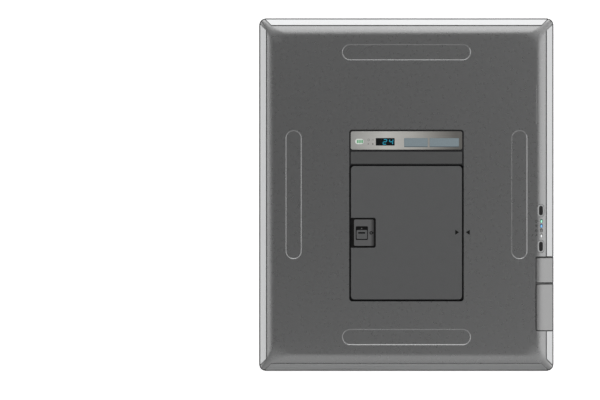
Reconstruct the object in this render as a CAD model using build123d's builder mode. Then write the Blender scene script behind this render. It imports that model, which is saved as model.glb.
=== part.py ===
from build123d import *
from math import asin, atan, cos, radians, sin, sqrt, tan
import os

# A flat panel x-ray detector, lying on its imaging face with its back up.
# Millimetres. X across, Y along the longer side, Z up from the imaging face.
# The origin is the middle of the imaging face.

# Outside
width = 384.0
length = 460.0
thickness = 15.0
corner_radius = 9.0
frame_height = 4.4          # front frame, below the shell and the trims
frame_chamfer = 1.2
half_width = width / 2
half_length = length / 2

# Edge of the back: vertical side, bevel under the trims, then a curved run up to the flat
groove_outer = 9.2          # distance from the outside to the groove beside a trim
groove_width = 1.2
edge_run = 13.0             # from the groove in to the flat
edge_rise = 2.3
side_break = 1.6            # chamfer between the vertical side and the bevel
groove_inner = groove_outer + groove_width
flat_start = groove_inner + edge_run
bevel_angle = 2 * atan(edge_rise / edge_run)
bevel_slope = tan(bevel_angle)
bevel_top = thickness - edge_rise
hip_angles = (15, 30, 45, 60, 75)   # directions in which each corner is rounded off
hip_radius = 11.0           # corner radius of the bevel's top edge
hip_spread = 0.92           # growth of that radius per millimetre in to the flat

# Trims
trim_wall = 2.0
trim_lift = 0.1
fit_gap = 0.15
band_half = 3.7             # half the width of the shell's band at each corner
trim_end_gap = 1.0
rim_foot = 8.0              # where the sloping rim of a corner band meets its outer side
rim_slope = radians(50)
trim_underside = trim_wall / cos(bevel_angle)

# Walls
shell_wall = 1.6
cavity_inset = 3.9
cavity_relief = 0.3         # extra room above the cavity's side wall
tray_wall = 1.4
shell_inside = thickness - shell_wall

# Imaging stack, from the imaging face up
panel_thickness = 1.2
panel_rebate = 10.0
frame_ring = 16.0
cushion_thickness = 0.5
glass_thickness = 0.7
scintillator_thickness = 0.6
stack_cushion_thickness = 1.0
shield_thickness = 0.4
base_thickness = 1.6
stack_margin = 2.0
cushion_bottom = panel_thickness
glass_bottom = cushion_bottom + cushion_thickness
scintillator_bottom = glass_bottom + glass_thickness
stack_cushion_bottom = scintillator_bottom + scintillator_thickness
shield_bottom = stack_cushion_bottom + stack_cushion_thickness
base_bottom = frame_height
base_top = base_bottom + base_thickness
stack_width = width - 2 * (frame_ring + stack_margin)
stack_length = length - 2 * (frame_ring + stack_margin)

# Grip recesses
grip_long = 168.0
grip_short = 21.0
grip_depth = 0.8
grip_rim = 1.2
grip_pad = 3.0
grip_side_inset = 45.0      # from the outside to the middle of a grip
grip_end_inset = 44.5
grip_places = [
    (0, half_length - grip_end_inset, (grip_long, grip_short)),
    (0, grip_end_inset - half_length, (grip_long, grip_short)),
    (half_width - grip_side_inset, 0, (grip_short, grip_long)),
    (grip_side_inset - half_width, 0, (grip_short, grip_long)),
]

# Opening in the back for the display and the battery pack
opening_half = 74.6
opening_bottom = -139.1
opening_top = 84.7
opening_radius = 4.0
surface_drop = 0.2          # how far inserted faces sit below the back

# Display plate and cover strip, from the opening's top end down
plate_side_gap = 2.0
plate_end_gap = 2.2
plate_height = 23.9
plate_thickness = 1.6
plate_radius = 2.5
plate_ledge = 2.0           # ledge that the plate lies on
edge_break = 0.3            # chamfer round the faces of small covers
strip_gap = 2.7
strip_height = 15.8
strip_thickness = 1.6
strip_radius = 1.5
plate_half = opening_half - plate_side_gap
plate_top = opening_top - plate_end_gap
plate_bottom = plate_top - plate_height
plate_seat = thickness - surface_drop - plate_thickness
plate_face = plate_seat + plate_thickness
strip_top = plate_bottom - strip_gap
strip_bottom = strip_top - strip_height
deck_top = thickness - surface_drop - strip_thickness
deck_bottom = deck_top - 1.4
display_depth = 5.2         # from the back down to the display board's seat
display_floor = thickness - display_depth
display_web = 1.2           # web of the tray below the display
display_board_thickness = 1.0
display_board_right = 20.0
display_top = display_floor + display_board_thickness
window_gap = 0.1
window_drop = 0.05          # windows and labels below the plate's face
window_bottom = plate_seat - 0.3
window_top = plate_face - window_drop
window_radius = 0.8
memo_depth = 0.3


def on_plate(left, low, right, high):
    """A place on the display plate, with its heights above the plate's lower edge."""
    return (left, plate_bottom + low, right, plate_bottom + high)


segment_window = on_plate(-40.0, 5.3, -15.4, 15.1)
gauge_window = on_plate(-67.1, 6.9, -55.6, 14.3)
gauge_radius = 3.6
gauge_bars = 3
gauge_bar_half = 0.9
gauge_bar_margin = 1.5
segment_margin = 0.8        # seven segment display beyond its window
memo_places = {
    "left": on_plate(-3.2, 4.0, 27.7, 15.1),
    "right": on_plate(30.0, 4.0, 68.4, 15.1),
}

# Battery pack
pack_side_gap = 2.2
pack_end_gap = 2.5
pocket_gap = 1.4            # from the strip to the end of the pack's pocket
pocket_end_gap = 1.5
pocket_wall = 1.2
pack_depth = 7.8            # from the back down to the underside of the pack
cover_depth = 1.8           # from the back down to the cover's underside
seat_gap = 0.3              # below the pack, and round moving pieces
pack_radius = 4.5
pack_edge = 0.5             # chamfer round the pack's face
case_wall = 1.2
case_floor = 0.9
pack_half = opening_half - pack_side_gap
pack_bottom = opening_bottom + pack_end_gap
pocket_end = strip_bottom - pocket_gap
pack_top = pocket_end - pocket_end_gap
pack_floor = thickness - pack_depth
cover_bottom = thickness - cover_depth
cover_top_z = thickness - surface_drop / 2
tray_floor = pack_floor - seat_gap
tongue_length = 16.0
tongue_reach = 3.1
tongue_thickness = 1.4
tongue_drop = 0.2
tongue_side_gap = 1.0
tongue_swing = 2.2          # room below a tongue, for the pack to tilt
tongue_places = (0.0, -98.0)
tongue_bottom = cover_bottom - tongue_drop - tongue_thickness

# Battery contacts in the tray, and the pack's pads over them
contact_left = 52.0
contact_right = 66.0
contact_half = 22.0
contact_height = 0.2
terminal_count = 5
terminal_pitch = 8.0
terminal_places = [(index - (terminal_count - 1) / 2) * terminal_pitch
                   for index in range(terminal_count)]
terminal_half = 2.0
terminal_inset = 2.0        # from the contact block's ends to the pads
contact_inset = 3.0         # and to the contacts

# Battery latch
latch_inset = 4.1           # from the pack's side to the latch
latch_width = 26.3
latch_bottom = -66.7
latch_top = -32.4
latch_radius = 1.8
latch_travel = 5.0
latch_drop = 0.3            # latch face below the back
latch_left = latch_inset - pack_half
latch_right = latch_left + latch_width
latch_face = thickness - latch_drop
ramp_width = 4.2
ramp_drop = 1.6
notch_gap = 1.9             # beside the latch in the pack's notch
notch_gap_low = 2.5
notch_gap_high = 2.1
notch_radius = 2.5
notch_right = latch_right + notch_gap
notch_bottom = latch_bottom - notch_gap_low
notch_top = latch_top + notch_gap_high
bolt_drop = 0.8             # bolt below the pack's cover
bolt_thickness = 1.9
bolt_half = 8.5
bolt_recess = 0.5           # bolt's tip inside the pack's side
bolt_top = cover_bottom - bolt_drop
bolt_bottom = bolt_top - bolt_thickness
bolt_tip = bolt_recess - pack_half
bolt_y = (notch_bottom + notch_top) / 2
channel_gap = 0.3
channel_end_gap = 0.5
rail_gap = 0.2
well_floor = bolt_bottom - rail_gap
rail_top = bolt_top - rail_gap
well_right = notch_right + case_wall

# Lock slider in the latch
lock_inset = 3.2            # from the latch's left end
lock_rise = 8.9             # from the latch's lower edge
lock_width = 14.0
lock_height = 11.7
lock_travel = 4.0
lock_radius = 1.2
lock_window_radius = 1.4
lock_drop = 0.5             # slider's face below the back
lock_pin_radius = 1.3
lock_gap = 0.9
lock_gap_left = 1.0
lock_gap_low = 1.2
lock_left = latch_left + lock_inset
lock_right = lock_left + lock_width
lock_bottom = latch_bottom + lock_rise
lock_face = thickness - lock_drop
lock_window = (lock_left - lock_gap_left, lock_bottom - lock_gap_low, lock_right + lock_gap,
               lock_bottom + lock_height + lock_travel + lock_gap)
gate_depth = 1.0
gate_half = lock_pin_radius + channel_gap
pin_x = (lock_left + lock_right) / 2
pin_y = lock_bottom + lock_height / 2
groove_left = 2.0           # grip groove in the slider's face, from its left end
groove_length = 9.5
groove_rise = 6.6
groove_height = 2.5
groove_depth = 0.5
groove_radius = 0.6

# Buttons and status lights on the right edge
control_inset = 16.8        # from the outside
control_x = half_width - control_inset
control_margin = 14.0       # thicker wall beyond the outer buttons
button_places = {"power": -20.8, "status": -67.5}
button_size = (4.7, 12.0)
button_recess = (10.0, 17.2)
button_recess_depth = 0.6
button_recess_rise = 0.4    # how far above the edge's surface the recess is cut from
button_drop = 0.5           # button's face below the back
button_gap = 0.2
button_travel = 0.6
button_edge = 0.5
flange_width = 0.9
flange_height = 0.5
flange_gap = 0.2            # between a flange and the wall above it
control_depth = 3.5         # from the back down to the underside of that thicker wall
lens_inset = 16.2
lens_places = (-34.4, -40.6, -46.5, -53.3)
lens_size = (3.3, 5.1)
lens_gap = 0.1
lens_lift = 0.4
lens_drop = 0.4             # lens below the edge's surface
board_thickness = 1.0
switch_height = 0.3
switch_half = 2.0
switch_gap = 0.3            # left above a switch when its button is pressed
switch_board_half = 5.0
switch_board_margin = 10.5
switch_post_margin = 7.0
lens_x = half_width - lens_inset
edge_radius = edge_run / sin(bevel_angle)
control_tilt = asin((flat_start - control_inset) / edge_radius)
control_height = thickness - edge_radius * (1 - cos(control_tilt))
button_face = thickness - button_drop
control_pad = thickness - control_depth
flange_top = control_pad - flange_gap
switch_top = flange_top - flange_height - button_travel - switch_gap
switch_board_top = switch_top - switch_height
switch_board_bottom = switch_board_top - board_thickness
controls_low = min(button_places.values())
controls_high = max(button_places.values())

# Pocket in the right edge, with the flap above and the fixed cover below
port_inset = 24.0
port_top = -80.5
port_length = 97.5
port_floor_wall = 0.8
port_wall = 1.6
port_radius = 2.4           # inner corners of the pocket
port_left = half_width - port_inset
port_bottom = port_top - port_length
port_floor = frame_height + port_floor_wall
skin_wall = 1.6
skin_gap = 1.3              # beside the flap and the fixed cover
skin_radius = 1.5
flap_length = 31.5
flap_end_gap = 2.2
cover_gap = 3.0             # between the flap and the fixed cover
flap_left = port_left + skin_gap
flap_top = port_top - flap_end_gap
flap_bottom = flap_top - flap_length
cover_top = flap_bottom - cover_gap
cover_end = port_bottom + skin_gap
divider_gap_high = 0.7
divider_gap_low = 0.6
divider_drop = 4.0
divider_step = 1.2          # height of the divider's outer part
divider_top = flap_bottom - divider_gap_high
divider_bottom = cover_top + divider_gap_low
divider_height = thickness - divider_drop
rib_thickness = 1.5         # ribs below the fixed cover
rib_inset_high = 0.5
rib_inset_low = 0.5
rib_drop = 1.0

# Hinge of the flap
hinge_inset = 1.6           # from the flap's inner end
hinge_drop = 2.2            # below the back
pin_radius = 0.6
knuckle_radius = 1.1
knuckle_length = 6.0
hinge_gap = 0.05
lug_length = 2.0
lug_stem = 1.7              # thickness of the post below each lug
lug_stem_inset = 0.6        # from the post's inner face to the pin
lug_inset = 0.9             # from the flap's end to the lug
end_play = 0.3
hinge_relief = 0.1          # between a lug and the flap above it
relief_reach = 2.1          # thinner part of the flap, beyond the pin
knuckle_overlap = 0.2
bracket_strip = 1.9         # strip that joins the two lugs, along the pocket's wall
bracket_thickness = 1.6
hinge_x = flap_left + hinge_inset
hinge_z = thickness - hinge_drop
relief_right = hinge_x + relief_reach
stem_left = hinge_x - lug_stem_inset
lug_places = (flap_top - lug_inset - lug_length / 2, flap_bottom + lug_inset + lug_length / 2)
knuckle_offset = lug_length / 2 + end_play + knuckle_length / 2
knuckle_places = (lug_places[0] - knuckle_offset, lug_places[1] + knuckle_offset)

# Cable socket
socket_length = 10.0
socket_inset = 0.3          # its inner end before the hinge line
socket_gap_high = 3.3       # from the flap's ends to the socket
socket_gap_low = 3.2
socket_drop = 4.3
mouth_depth = 7.0
mouth_wall = 0.4
mouth_side = 1.5
socket_pin_count = 8
socket_pin_pitch = 2.2
socket_pin_radius = 0.35
socket_pin_length = 0.5
socket_row = 1.0            # from the middle to each row of pins
socket_left = hinge_x - socket_inset
socket_right = socket_left + socket_length
socket_top_y = flap_top - socket_gap_high
socket_bottom_y = flap_bottom + socket_gap_low
socket_height = thickness - socket_drop


def edge_height(u):
    """Height of the bevel, carried straight out to the outside, at u from the outside."""
    return bevel_top - (groove_inner - u) * bevel_slope


def outward_plane(ox, oy):
    """Upright plane across an edge: its local x points outward and its local y points up."""
    return Plane(origin=(0, 0, 0), x_dir=(ox, oy, 0), z_dir=(oy, -ox, 0))


def plan_plane(ox, oy):
    """Level plane whose local x points outward."""
    return Plane(origin=(0, 0, 0), x_dir=(ox, oy, 0), z_dir=(0, 0, 1))


def round_section(half, low):
    """Half of the outer section, from the middle out, mirrored to a whole one."""
    with BuildLine() as outline:
        Polyline((0, low), (half, low), (half, edge_height(0)), (half - groove_inner, bevel_top))
        TangentArc(
            (half - groove_inner, bevel_top),
            (half - flat_start, thickness),
            tangent=(-cos(bevel_angle), sin(bevel_angle)),
        )
        Line((half - flat_start, thickness), (0, thickness))
        mirror(about=Plane.YZ)
    return outline.edges()


def ledge_section(half, low):
    """The outer section with the bevel lowered to carry the trims, and the groove beside them."""
    side = trim_wall + fit_gap
    drop = trim_underside + fit_gap
    with BuildLine() as outline:
        Polyline(
            (0, low),
            (half - side, low),
            (half - side, edge_height(side) - drop),
            (half - groove_outer, edge_height(groove_outer) - drop),
            (half - groove_inner, edge_height(groove_outer) - drop),
            (half - groove_inner, bevel_top),
        )
        TangentArc(
            (half - groove_inner, bevel_top),
            (half - flat_start, thickness),
            tangent=(-cos(bevel_angle), sin(bevel_angle)),
        )
        Line((half - flat_start, thickness), (0, thickness))
        mirror(about=Plane.YZ)
    return outline.edges()


def cavity_section(half, low):
    """The inside of the shell."""
    under = trim_underside + fit_gap + shell_wall
    corner = groove_inner + shell_wall
    with BuildLine() as outline:
        Polyline(
            (0, low),
            (half - cavity_inset, low),
            (half - cavity_inset, edge_height(cavity_inset) - under - cavity_relief),
            (half - corner, edge_height(groove_outer) - under),
            (half - corner, edge_height(corner) - shell_wall),
            (half - flat_start - shell_wall, thickness - shell_wall),
            (0, thickness - shell_wall),
        )
        mirror(about=Plane.YZ)
    return outline.edges()


def hip_section(angle, low):
    """Section across one direction of a corner, lower than the crossed sections only there."""
    across, along = cos(radians(angle)), sin(radians(angle))
    half = half_width * across + half_length * along
    bulge = across + along - 1
    start = half - bulge * hip_radius - (1 + bulge) * groove_inner
    run = (1 + bulge + bulge * hip_spread) * edge_run
    slope = 2 * atan(edge_rise / run)
    with BuildLine() as outline:
        Polyline((0, low), (half, low), (half, bevel_top - (half - start) * tan(slope)),
                 (start, bevel_top))
        TangentArc((start, bevel_top), (start - run, thickness), tangent=(-cos(slope), sin(slope)))
        Line((start - run, thickness), (0, thickness))
        mirror(about=Plane.YZ)
    return outline.edges()


def crossed(section, low):
    """A section run along both sides, and kept where the two runs meet."""
    reach = max(width, length)
    with BuildPart() as solid:
        with BuildSketch(outward_plane(1, 0)):
            make_face(section(half_width, low))
        extrude(amount=reach, both=True)
        with BuildSketch(outward_plane(0, 1)):
            make_face(section(half_length, low))
        extrude(amount=reach, both=True, mode=Mode.INTERSECT)
    return solid.part


def softened(section, low):
    """A crossed section with the corners' hips cut back and its plan rounded."""
    reach = max(width, length)
    with BuildPart() as solid:
        add(crossed(section, low))
        for angle in hip_angles:
            for side in (1, -1):
                with BuildSketch(outward_plane(cos(radians(angle)), side * sin(radians(angle)))):
                    make_face(hip_section(angle, low))
                extrude(amount=reach, both=True, mode=Mode.INTERSECT)
        with BuildSketch():
            RectangleRounded(width, length, corner_radius)
        extrude(amount=thickness, mode=Mode.INTERSECT)
    return solid.part


def slab(x0, y0, x1, y1, z0, z1, radius=0.0, mode=Mode.ADD):
    """A level block between two corners, with rounded upright edges where a radius is given."""
    with BuildSketch(Plane.XY.offset(z0), mode=Mode.PRIVATE) as outline:
        with Locations(((x0 + x1) / 2, (y0 + y1) / 2)):
            if radius:
                RectangleRounded(abs(x1 - x0), abs(y1 - y0), radius)
            else:
                Rectangle(abs(x1 - x0), abs(y1 - y0))
    extrude(outline.sketch, amount=z1 - z0, mode=mode)


def pill_outline(x, y, size, z):
    """A level outline with round ends; size is across, then along."""
    across, along = size
    with BuildSketch(Plane.XY.offset(z), mode=Mode.PRIVATE) as outline:
        with Locations((x, y)):
            if across > along:
                SlotOverall(across, along)
            else:
                SlotOverall(along, across, rotation=90)
    return outline.sketch


def pill(x, y, size, z0, z1, mode=Mode.ADD):
    """A level block with round ends."""
    extrude(pill_outline(x, y, size, z0), amount=z1 - z0, mode=mode)


def post(x, y, radius, z0, z1, mode=Mode.ADD):
    """An upright round post or hole."""
    with BuildSketch(Plane.XY.offset(z0), mode=Mode.PRIVATE) as outline:
        with Locations((x, y)):
            Circle(radius)
    extrude(outline.sketch, amount=z1 - z0, mode=mode)


def hinge_disc(y, span, radius, mode=Mode.ADD):
    """A round bar or hole along the flap's hinge line, centred on y."""
    with BuildSketch(Plane.XZ.offset(-y - span / 2), mode=Mode.PRIVATE) as outline:
        with Locations((hinge_x, hinge_z)):
            Circle(radius)
    extrude(outline.sketch, amount=span, mode=mode)


def smaller(place, gap):
    """A place drawn in by a gap on all four sides."""
    return (place[0] + gap, place[1] + gap, place[2] - gap, place[3] - gap)


def wider(size, gap):
    """A size with a gap added on each side."""
    return tuple(value + 2 * gap for value in size)


def recess_outline(y, rise):
    """A button recess's outline, above or below the plane that touches the edge there."""
    touching = Plane(origin=(control_x, y, control_height),
                     x_dir=(cos(control_tilt), 0, -sin(control_tilt)),
                     z_dir=(sin(control_tilt), 0, cos(control_tilt)))
    across, along = wider(button_recess, rise)
    with BuildSketch(touching.offset(rise), mode=Mode.PRIVATE) as outline:
        SlotOverall(along, across, rotation=90)
    return outline.sketch


def save(piece, name):
    """Label a finished piece and write its file."""
    piece.part.label = name
    export_step(piece.part, f"parts/{name}.step")


os.makedirs("parts", exist_ok=True)

# Where the screws that hold the shell to the frame stand, all under the trims
screw_inset = 6.0
screw_radius = 0.9
screw_gap = 0.05
screw_end_gap = 0.2
screw_head_radius = 1.9
screw_head_height = 1.2
screw_recess_radius = 0.8
screw_recess_depth = 0.6
screw_boss_radius = 2.8
screw_bottom = 1.7
screw_cover = 2.3           # from the trim's underside down to a head's seat
screw_spacing_x = 72.0
screw_spacing_y = 98.0
screw_seat = edge_height(screw_inset) - trim_underside - screw_cover
screw_places = []
for step in range(-2, 3):
    for end in (1, -1):
        screw_places.append((step * screw_spacing_x, end * (half_length - screw_inset)))
        side_place = (end * (half_width - screw_inset), step * screw_spacing_y)
        in_port = end > 0 and port_bottom < side_place[1] < port_top
        if not in_port:
            screw_places.append(side_place)

# Rear shell
with BuildPart() as band_rims:
    for sx in (1, -1):
        for sy in (1, -1):
            middle_x = sx * (half_width - corner_radius)
            middle_y = sy * (half_length - corner_radius)
            slab(middle_x, middle_y, sx * (half_width + 1), sy * (half_length + 1), rim_foot,
                 thickness)
            cone_height = corner_radius * tan(rim_slope)
            with Locations((middle_x, middle_y, rim_foot + cone_height / 2)):
                Cone(corner_radius, 0, cone_height, mode=Mode.SUBTRACT)

with BuildPart() as corner_bands:
    add(softened(round_section, frame_height))
    band_length = 40.0
    with BuildSketch() as bands:
        for sx in (1, -1):
            for sy in (1, -1):
                with Locations((sx * half_width, sy * half_length)):
                    Rectangle(2 * band_half, band_length, rotation=-45 * sx * sy)
    extrude(amount=thickness, mode=Mode.INTERSECT)
    add(band_rims.part, mode=Mode.SUBTRACT)

with BuildPart() as cavity:
    add(crossed(cavity_section, frame_height))
    # walls and floor of the pocket in the right edge
    slab(port_left - port_wall, port_bottom - port_wall, half_width, port_top + port_wall,
         frame_height, thickness, mode=Mode.SUBTRACT)
    # thicker wall round the buttons and lights
    slab(port_left, controls_low - control_margin, half_width - groove_inner + 1,
         controls_high + control_margin, control_pad, thickness, mode=Mode.SUBTRACT)
    # thicker wall over each grip
    for x, y, size in grip_places:
        pill(x, y, wider(size, grip_pad), thickness - shell_wall - grip_depth, thickness,
             mode=Mode.SUBTRACT)
    for x, y in screw_places:
        post(x, y, screw_boss_radius, frame_height, thickness, mode=Mode.SUBTRACT)

# Pocket in the right edge, with a divider left standing in it
with BuildPart() as port_pocket:
    slab(port_left, port_bottom, half_width + port_inset, port_top, port_floor, thickness,
         port_radius)
    slab(port_left, divider_bottom, half_width - groove_inner - 1, divider_top,
         port_floor, divider_height, mode=Mode.SUBTRACT)
    slab(half_width - groove_inner - 1, divider_bottom, half_width + port_inset, divider_top,
         port_floor, port_floor + divider_step, mode=Mode.SUBTRACT)

with BuildPart() as rear_shell:
    add(softened(ledge_section, frame_height))
    add(corner_bands.part)
    add(cavity.part, mode=Mode.SUBTRACT)
    # opening for the display and the battery pack
    slab(-opening_half, opening_bottom, opening_half, opening_top,
         base_top, thickness, opening_radius, mode=Mode.SUBTRACT)
    add(port_pocket.part, mode=Mode.SUBTRACT)
    # grip recesses with sloping rims
    for x, y, size in grip_places:
        loft([pill_outline(x, y, size, thickness),
              pill_outline(x, y, wider(size, -grip_rim), thickness - grip_depth)],
             mode=Mode.SUBTRACT)
    # button recesses with holes for the caps, and holes for the status lights
    for y in button_places.values():
        loft([recess_outline(y, button_recess_rise), recess_outline(y, -button_recess_depth)],
             mode=Mode.SUBTRACT)
        pill(control_x, y, wider(button_size, button_gap), base_top, thickness,
             mode=Mode.SUBTRACT)
    for y in lens_places:
        pill(lens_x, y, wider(lens_size, lens_gap), base_top, thickness, mode=Mode.SUBTRACT)
    # screw holes and seats for the heads
    for x, y in screw_places:
        post(x, y, screw_radius + screw_gap, frame_height, thickness, mode=Mode.SUBTRACT)
        post(x, y, screw_head_radius + fit_gap, screw_seat, thickness, mode=Mode.SUBTRACT)
save(rear_shell, "rear_shell")

# Bracket on the pocket's floor, with the two lugs that carry the flap's hinge pin
with BuildPart() as flap_bracket:
    slab(stem_left - bracket_strip, lug_places[1] - lug_length / 2, stem_left,
         lug_places[0] + lug_length / 2, port_floor, port_floor + bracket_thickness)
    for y in lug_places:
        slab(stem_left - bracket_strip, y - lug_length / 2, stem_left + lug_stem,
             y + lug_length / 2, port_floor, port_floor + bracket_thickness)
        slab(stem_left, y - lug_length / 2, stem_left + lug_stem, y + lug_length / 2,
             port_floor, hinge_z)
        hinge_disc(y, lug_length, knuckle_radius)
        hinge_disc(y, lug_length, pin_radius + hinge_gap, mode=Mode.SUBTRACT)
save(flap_bracket, "flap_bracket")

# Front frame, round the imaging stack
seal_width = 0.8
seal_inset = 2.7
panel_radius = 3.0
with BuildPart() as front_frame:
    with BuildSketch():
        RectangleRounded(width, length, corner_radius)
    extrude(amount=frame_height)
    chamfer(front_frame.faces().sort_by(Axis.Z)[0].edges(), frame_chamfer)
    inner_x = half_width - frame_ring
    inner_y = half_length - frame_ring
    slab(-inner_x, -inner_y, inner_x, inner_y, 0, frame_height, panel_radius, mode=Mode.SUBTRACT)
    slab(-half_width + panel_rebate, -half_length + panel_rebate, half_width - panel_rebate,
         half_length - panel_rebate, 0, panel_thickness, panel_radius, mode=Mode.SUBTRACT)
    with BuildSketch(Plane.XY.offset(frame_height - seal_width)):
        RectangleRounded(width - 2 * seal_inset, length - 2 * seal_inset,
                         corner_radius - seal_inset)
        RectangleRounded(width - 2 * (seal_inset + seal_width),
                         length - 2 * (seal_inset + seal_width),
                         corner_radius - seal_inset - seal_width, mode=Mode.SUBTRACT)
    extrude(amount=seal_width, mode=Mode.SUBTRACT)
    for x, y in screw_places:
        post(x, y, screw_radius + screw_gap, screw_bottom - screw_end_gap, frame_height,
             mode=Mode.SUBTRACT)
save(front_frame, "front_frame")

with BuildPart() as housing_seal:
    with BuildSketch(Plane.XY.offset(frame_height - seal_width)):
        RectangleRounded(width - 2 * seal_inset, length - 2 * seal_inset,
                         corner_radius - seal_inset)
        RectangleRounded(width - 2 * (seal_inset + seal_width),
                         length - 2 * (seal_inset + seal_width),
                         corner_radius - seal_inset - seal_width, mode=Mode.SUBTRACT)
    extrude(amount=seal_width)
save(housing_seal, "housing_seal")

with BuildPart() as front_panel:
    slab(-half_width + panel_rebate + fit_gap, -half_length + panel_rebate + fit_gap,
         half_width - panel_rebate - fit_gap, half_length - panel_rebate - fit_gap,
         0, panel_thickness, panel_radius - fit_gap)
save(front_panel, "front_panel")

# Housing screws, in one group
with BuildPart() as housing_screws:
    for x, y in screw_places:
        post(x, y, screw_radius, screw_bottom, screw_seat)
        post(x, y, screw_head_radius, screw_seat, screw_seat + screw_head_height)
    recess_bottom = screw_seat + screw_head_height - screw_recess_depth
    for x, y in screw_places:
        with BuildSketch(Plane.XY.offset(recess_bottom)):
            with Locations((x, y)):
                RegularPolygon(radius=screw_recess_radius, side_count=6)
        extrude(amount=screw_recess_depth, mode=Mode.SUBTRACT)
save(housing_screws, "housing_screws")


# Edge trims
def edge_trim(ox, oy, half_out, half_along, first, last):
    """One trim with an L section and mitred ends, kept between two places along its side."""
    tip = band_half * sqrt(2) + trim_end_gap * sqrt(2)
    underside = trim_underside
    with BuildPart() as trim:
        with BuildSketch(outward_plane(ox, oy)) as section:
            with BuildLine():
                Polyline(
                    (half_out, frame_height + trim_lift),
                    (half_out, edge_height(0)),
                    (half_out - groove_outer, edge_height(groove_outer)),
                    (half_out - groove_outer, edge_height(groove_outer) - underside),
                    (half_out - trim_wall, edge_height(trim_wall) - underside),
                    (half_out - trim_wall, frame_height + trim_lift),
                    close=True,
                )
            make_face()
            shoulder = section.vertices().sort_by_distance((half_out, edge_height(0)))[0]
            chamfer(shoulder, side_break)
        extrude(amount=half_along, both=True)
        with BuildSketch(plan_plane(ox, oy)):
            with BuildLine():
                Polyline(
                    (half_out, half_along - tip),
                    (half_out, -half_along + tip),
                    (half_out - frame_ring, -half_along + tip + frame_ring),
                    (half_out - frame_ring, half_along - tip - frame_ring),
                    close=True,
                )
            make_face()
        extrude(amount=thickness, mode=Mode.INTERSECT)
        with BuildSketch():
            RectangleRounded(width, length, corner_radius)
        extrude(amount=thickness, mode=Mode.INTERSECT)
        if oy == 0:
            slab(-width, first, width, last, 0, thickness, mode=Mode.INTERSECT)
    return trim


save(edge_trim(0, 1, half_length, half_width, 0, 0), "edge_trim_top")
save(edge_trim(0, -1, half_length, half_width, 0, 0), "edge_trim_bottom")
save(edge_trim(-1, 0, half_width, half_length, -length, length), "edge_trim_left")
save(edge_trim(1, 0, half_width, half_length, port_top, length), "edge_trim_right_upper")
save(edge_trim(1, 0, half_width, half_length, -length, port_bottom), "edge_trim_right_lower")


# Imaging stack: level sheets, one on the other
def sheet(name, bottom, height, inset):
    """One sheet of the imaging stack, centred on the panel."""
    half_x = stack_width / 2 - inset
    half_y = stack_length / 2 - inset
    with BuildPart() as layer:
        slab(-half_x, -half_y, half_x, half_y, bottom, bottom + height)
    save(layer, name)


layer_inset = 2.0
sheet("panel_cushion", cushion_bottom, cushion_thickness, 0)
sheet("sensor_panel", glass_bottom, glass_thickness, 0)
sheet("scintillator", scintillator_bottom, scintillator_thickness, layer_inset)
sheet("stack_cushion", stack_cushion_bottom, stack_cushion_thickness, layer_inset)
sheet("xray_shield", shield_bottom, shield_thickness, layer_inset)

# Base plate with the posts that carry the boards, and slots for the flexes
base_inset = 12.0
flex_thickness = 0.3
flex_gap = 1.0
flex_slot = 1.4
flex_lift = 0.1             # flex above the glass's underside
flex_seat_gap = 0.05        # between a flex's end and the glass
gate_tails = 6
gate_pitch = 48.0
gate_tail = 30.0
gate_reach = 8.0            # how far the flex reaches over its board
gate_span = gate_tails * gate_pitch + 12.0
readout_tails = 8
readout_pitch = 32.0
readout_tail = 20.0
readout_reach = 9.0
readout_span = readout_tails * readout_pitch + 4.0
board_lift = 0.8
board_post_inset = 4.0
board_post_radius = 2.5
board_bottom = base_top + board_lift
gate_flex_x = -(stack_width / 2 + flex_gap)
readout_flex_y = -(stack_length / 2 + flex_gap)
board_places = {
    "gate_driver_board": (20.0 - half_width, -gate_span / 2, 40.0 - half_width, gate_span / 2),
    "readout_board": (-140.0, 22.0 - half_length, 140.0, 46.0 - half_length),
    "main_board": (half_width - 106.0, -60.0, half_width - 34.0, 150.0),
    "power_board": (50.0 - half_width, -96.0, 108.0 - half_width, 60.0),
    "wireless_module": (-62.0, half_length - 78.0, -18.0, half_length - 34.0),
}
with BuildPart() as base_plate:
    slab(-half_width + base_inset, -half_length + base_inset, half_width - base_inset,
         half_length - base_inset, base_bottom, base_top)
    slab(port_left - port_wall - fit_gap, port_bottom - port_wall - fit_gap, half_width,
         port_top + port_wall + fit_gap, base_bottom, base_top, mode=Mode.SUBTRACT)
    slab(gate_flex_x - flex_slot / 2, -gate_span / 2, gate_flex_x + flex_slot / 2,
         gate_span / 2, base_bottom, base_top, mode=Mode.SUBTRACT)
    slab(-readout_span / 2, readout_flex_y - flex_slot / 2, readout_span / 2,
         readout_flex_y + flex_slot / 2, base_bottom, base_top, mode=Mode.SUBTRACT)
    for x0, y0, x1, y1 in board_places.values():
        for x in (x0 + board_post_inset, x1 - board_post_inset):
            for y in (y0 + board_post_inset, y1 - board_post_inset):
                post(x, y, board_post_radius, base_top, board_bottom)
    for y in (controls_low - switch_post_margin, controls_high + switch_post_margin):
        post(control_x, y, board_post_radius, base_top, switch_board_bottom)
save(base_plate, "base_plate")


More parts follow.
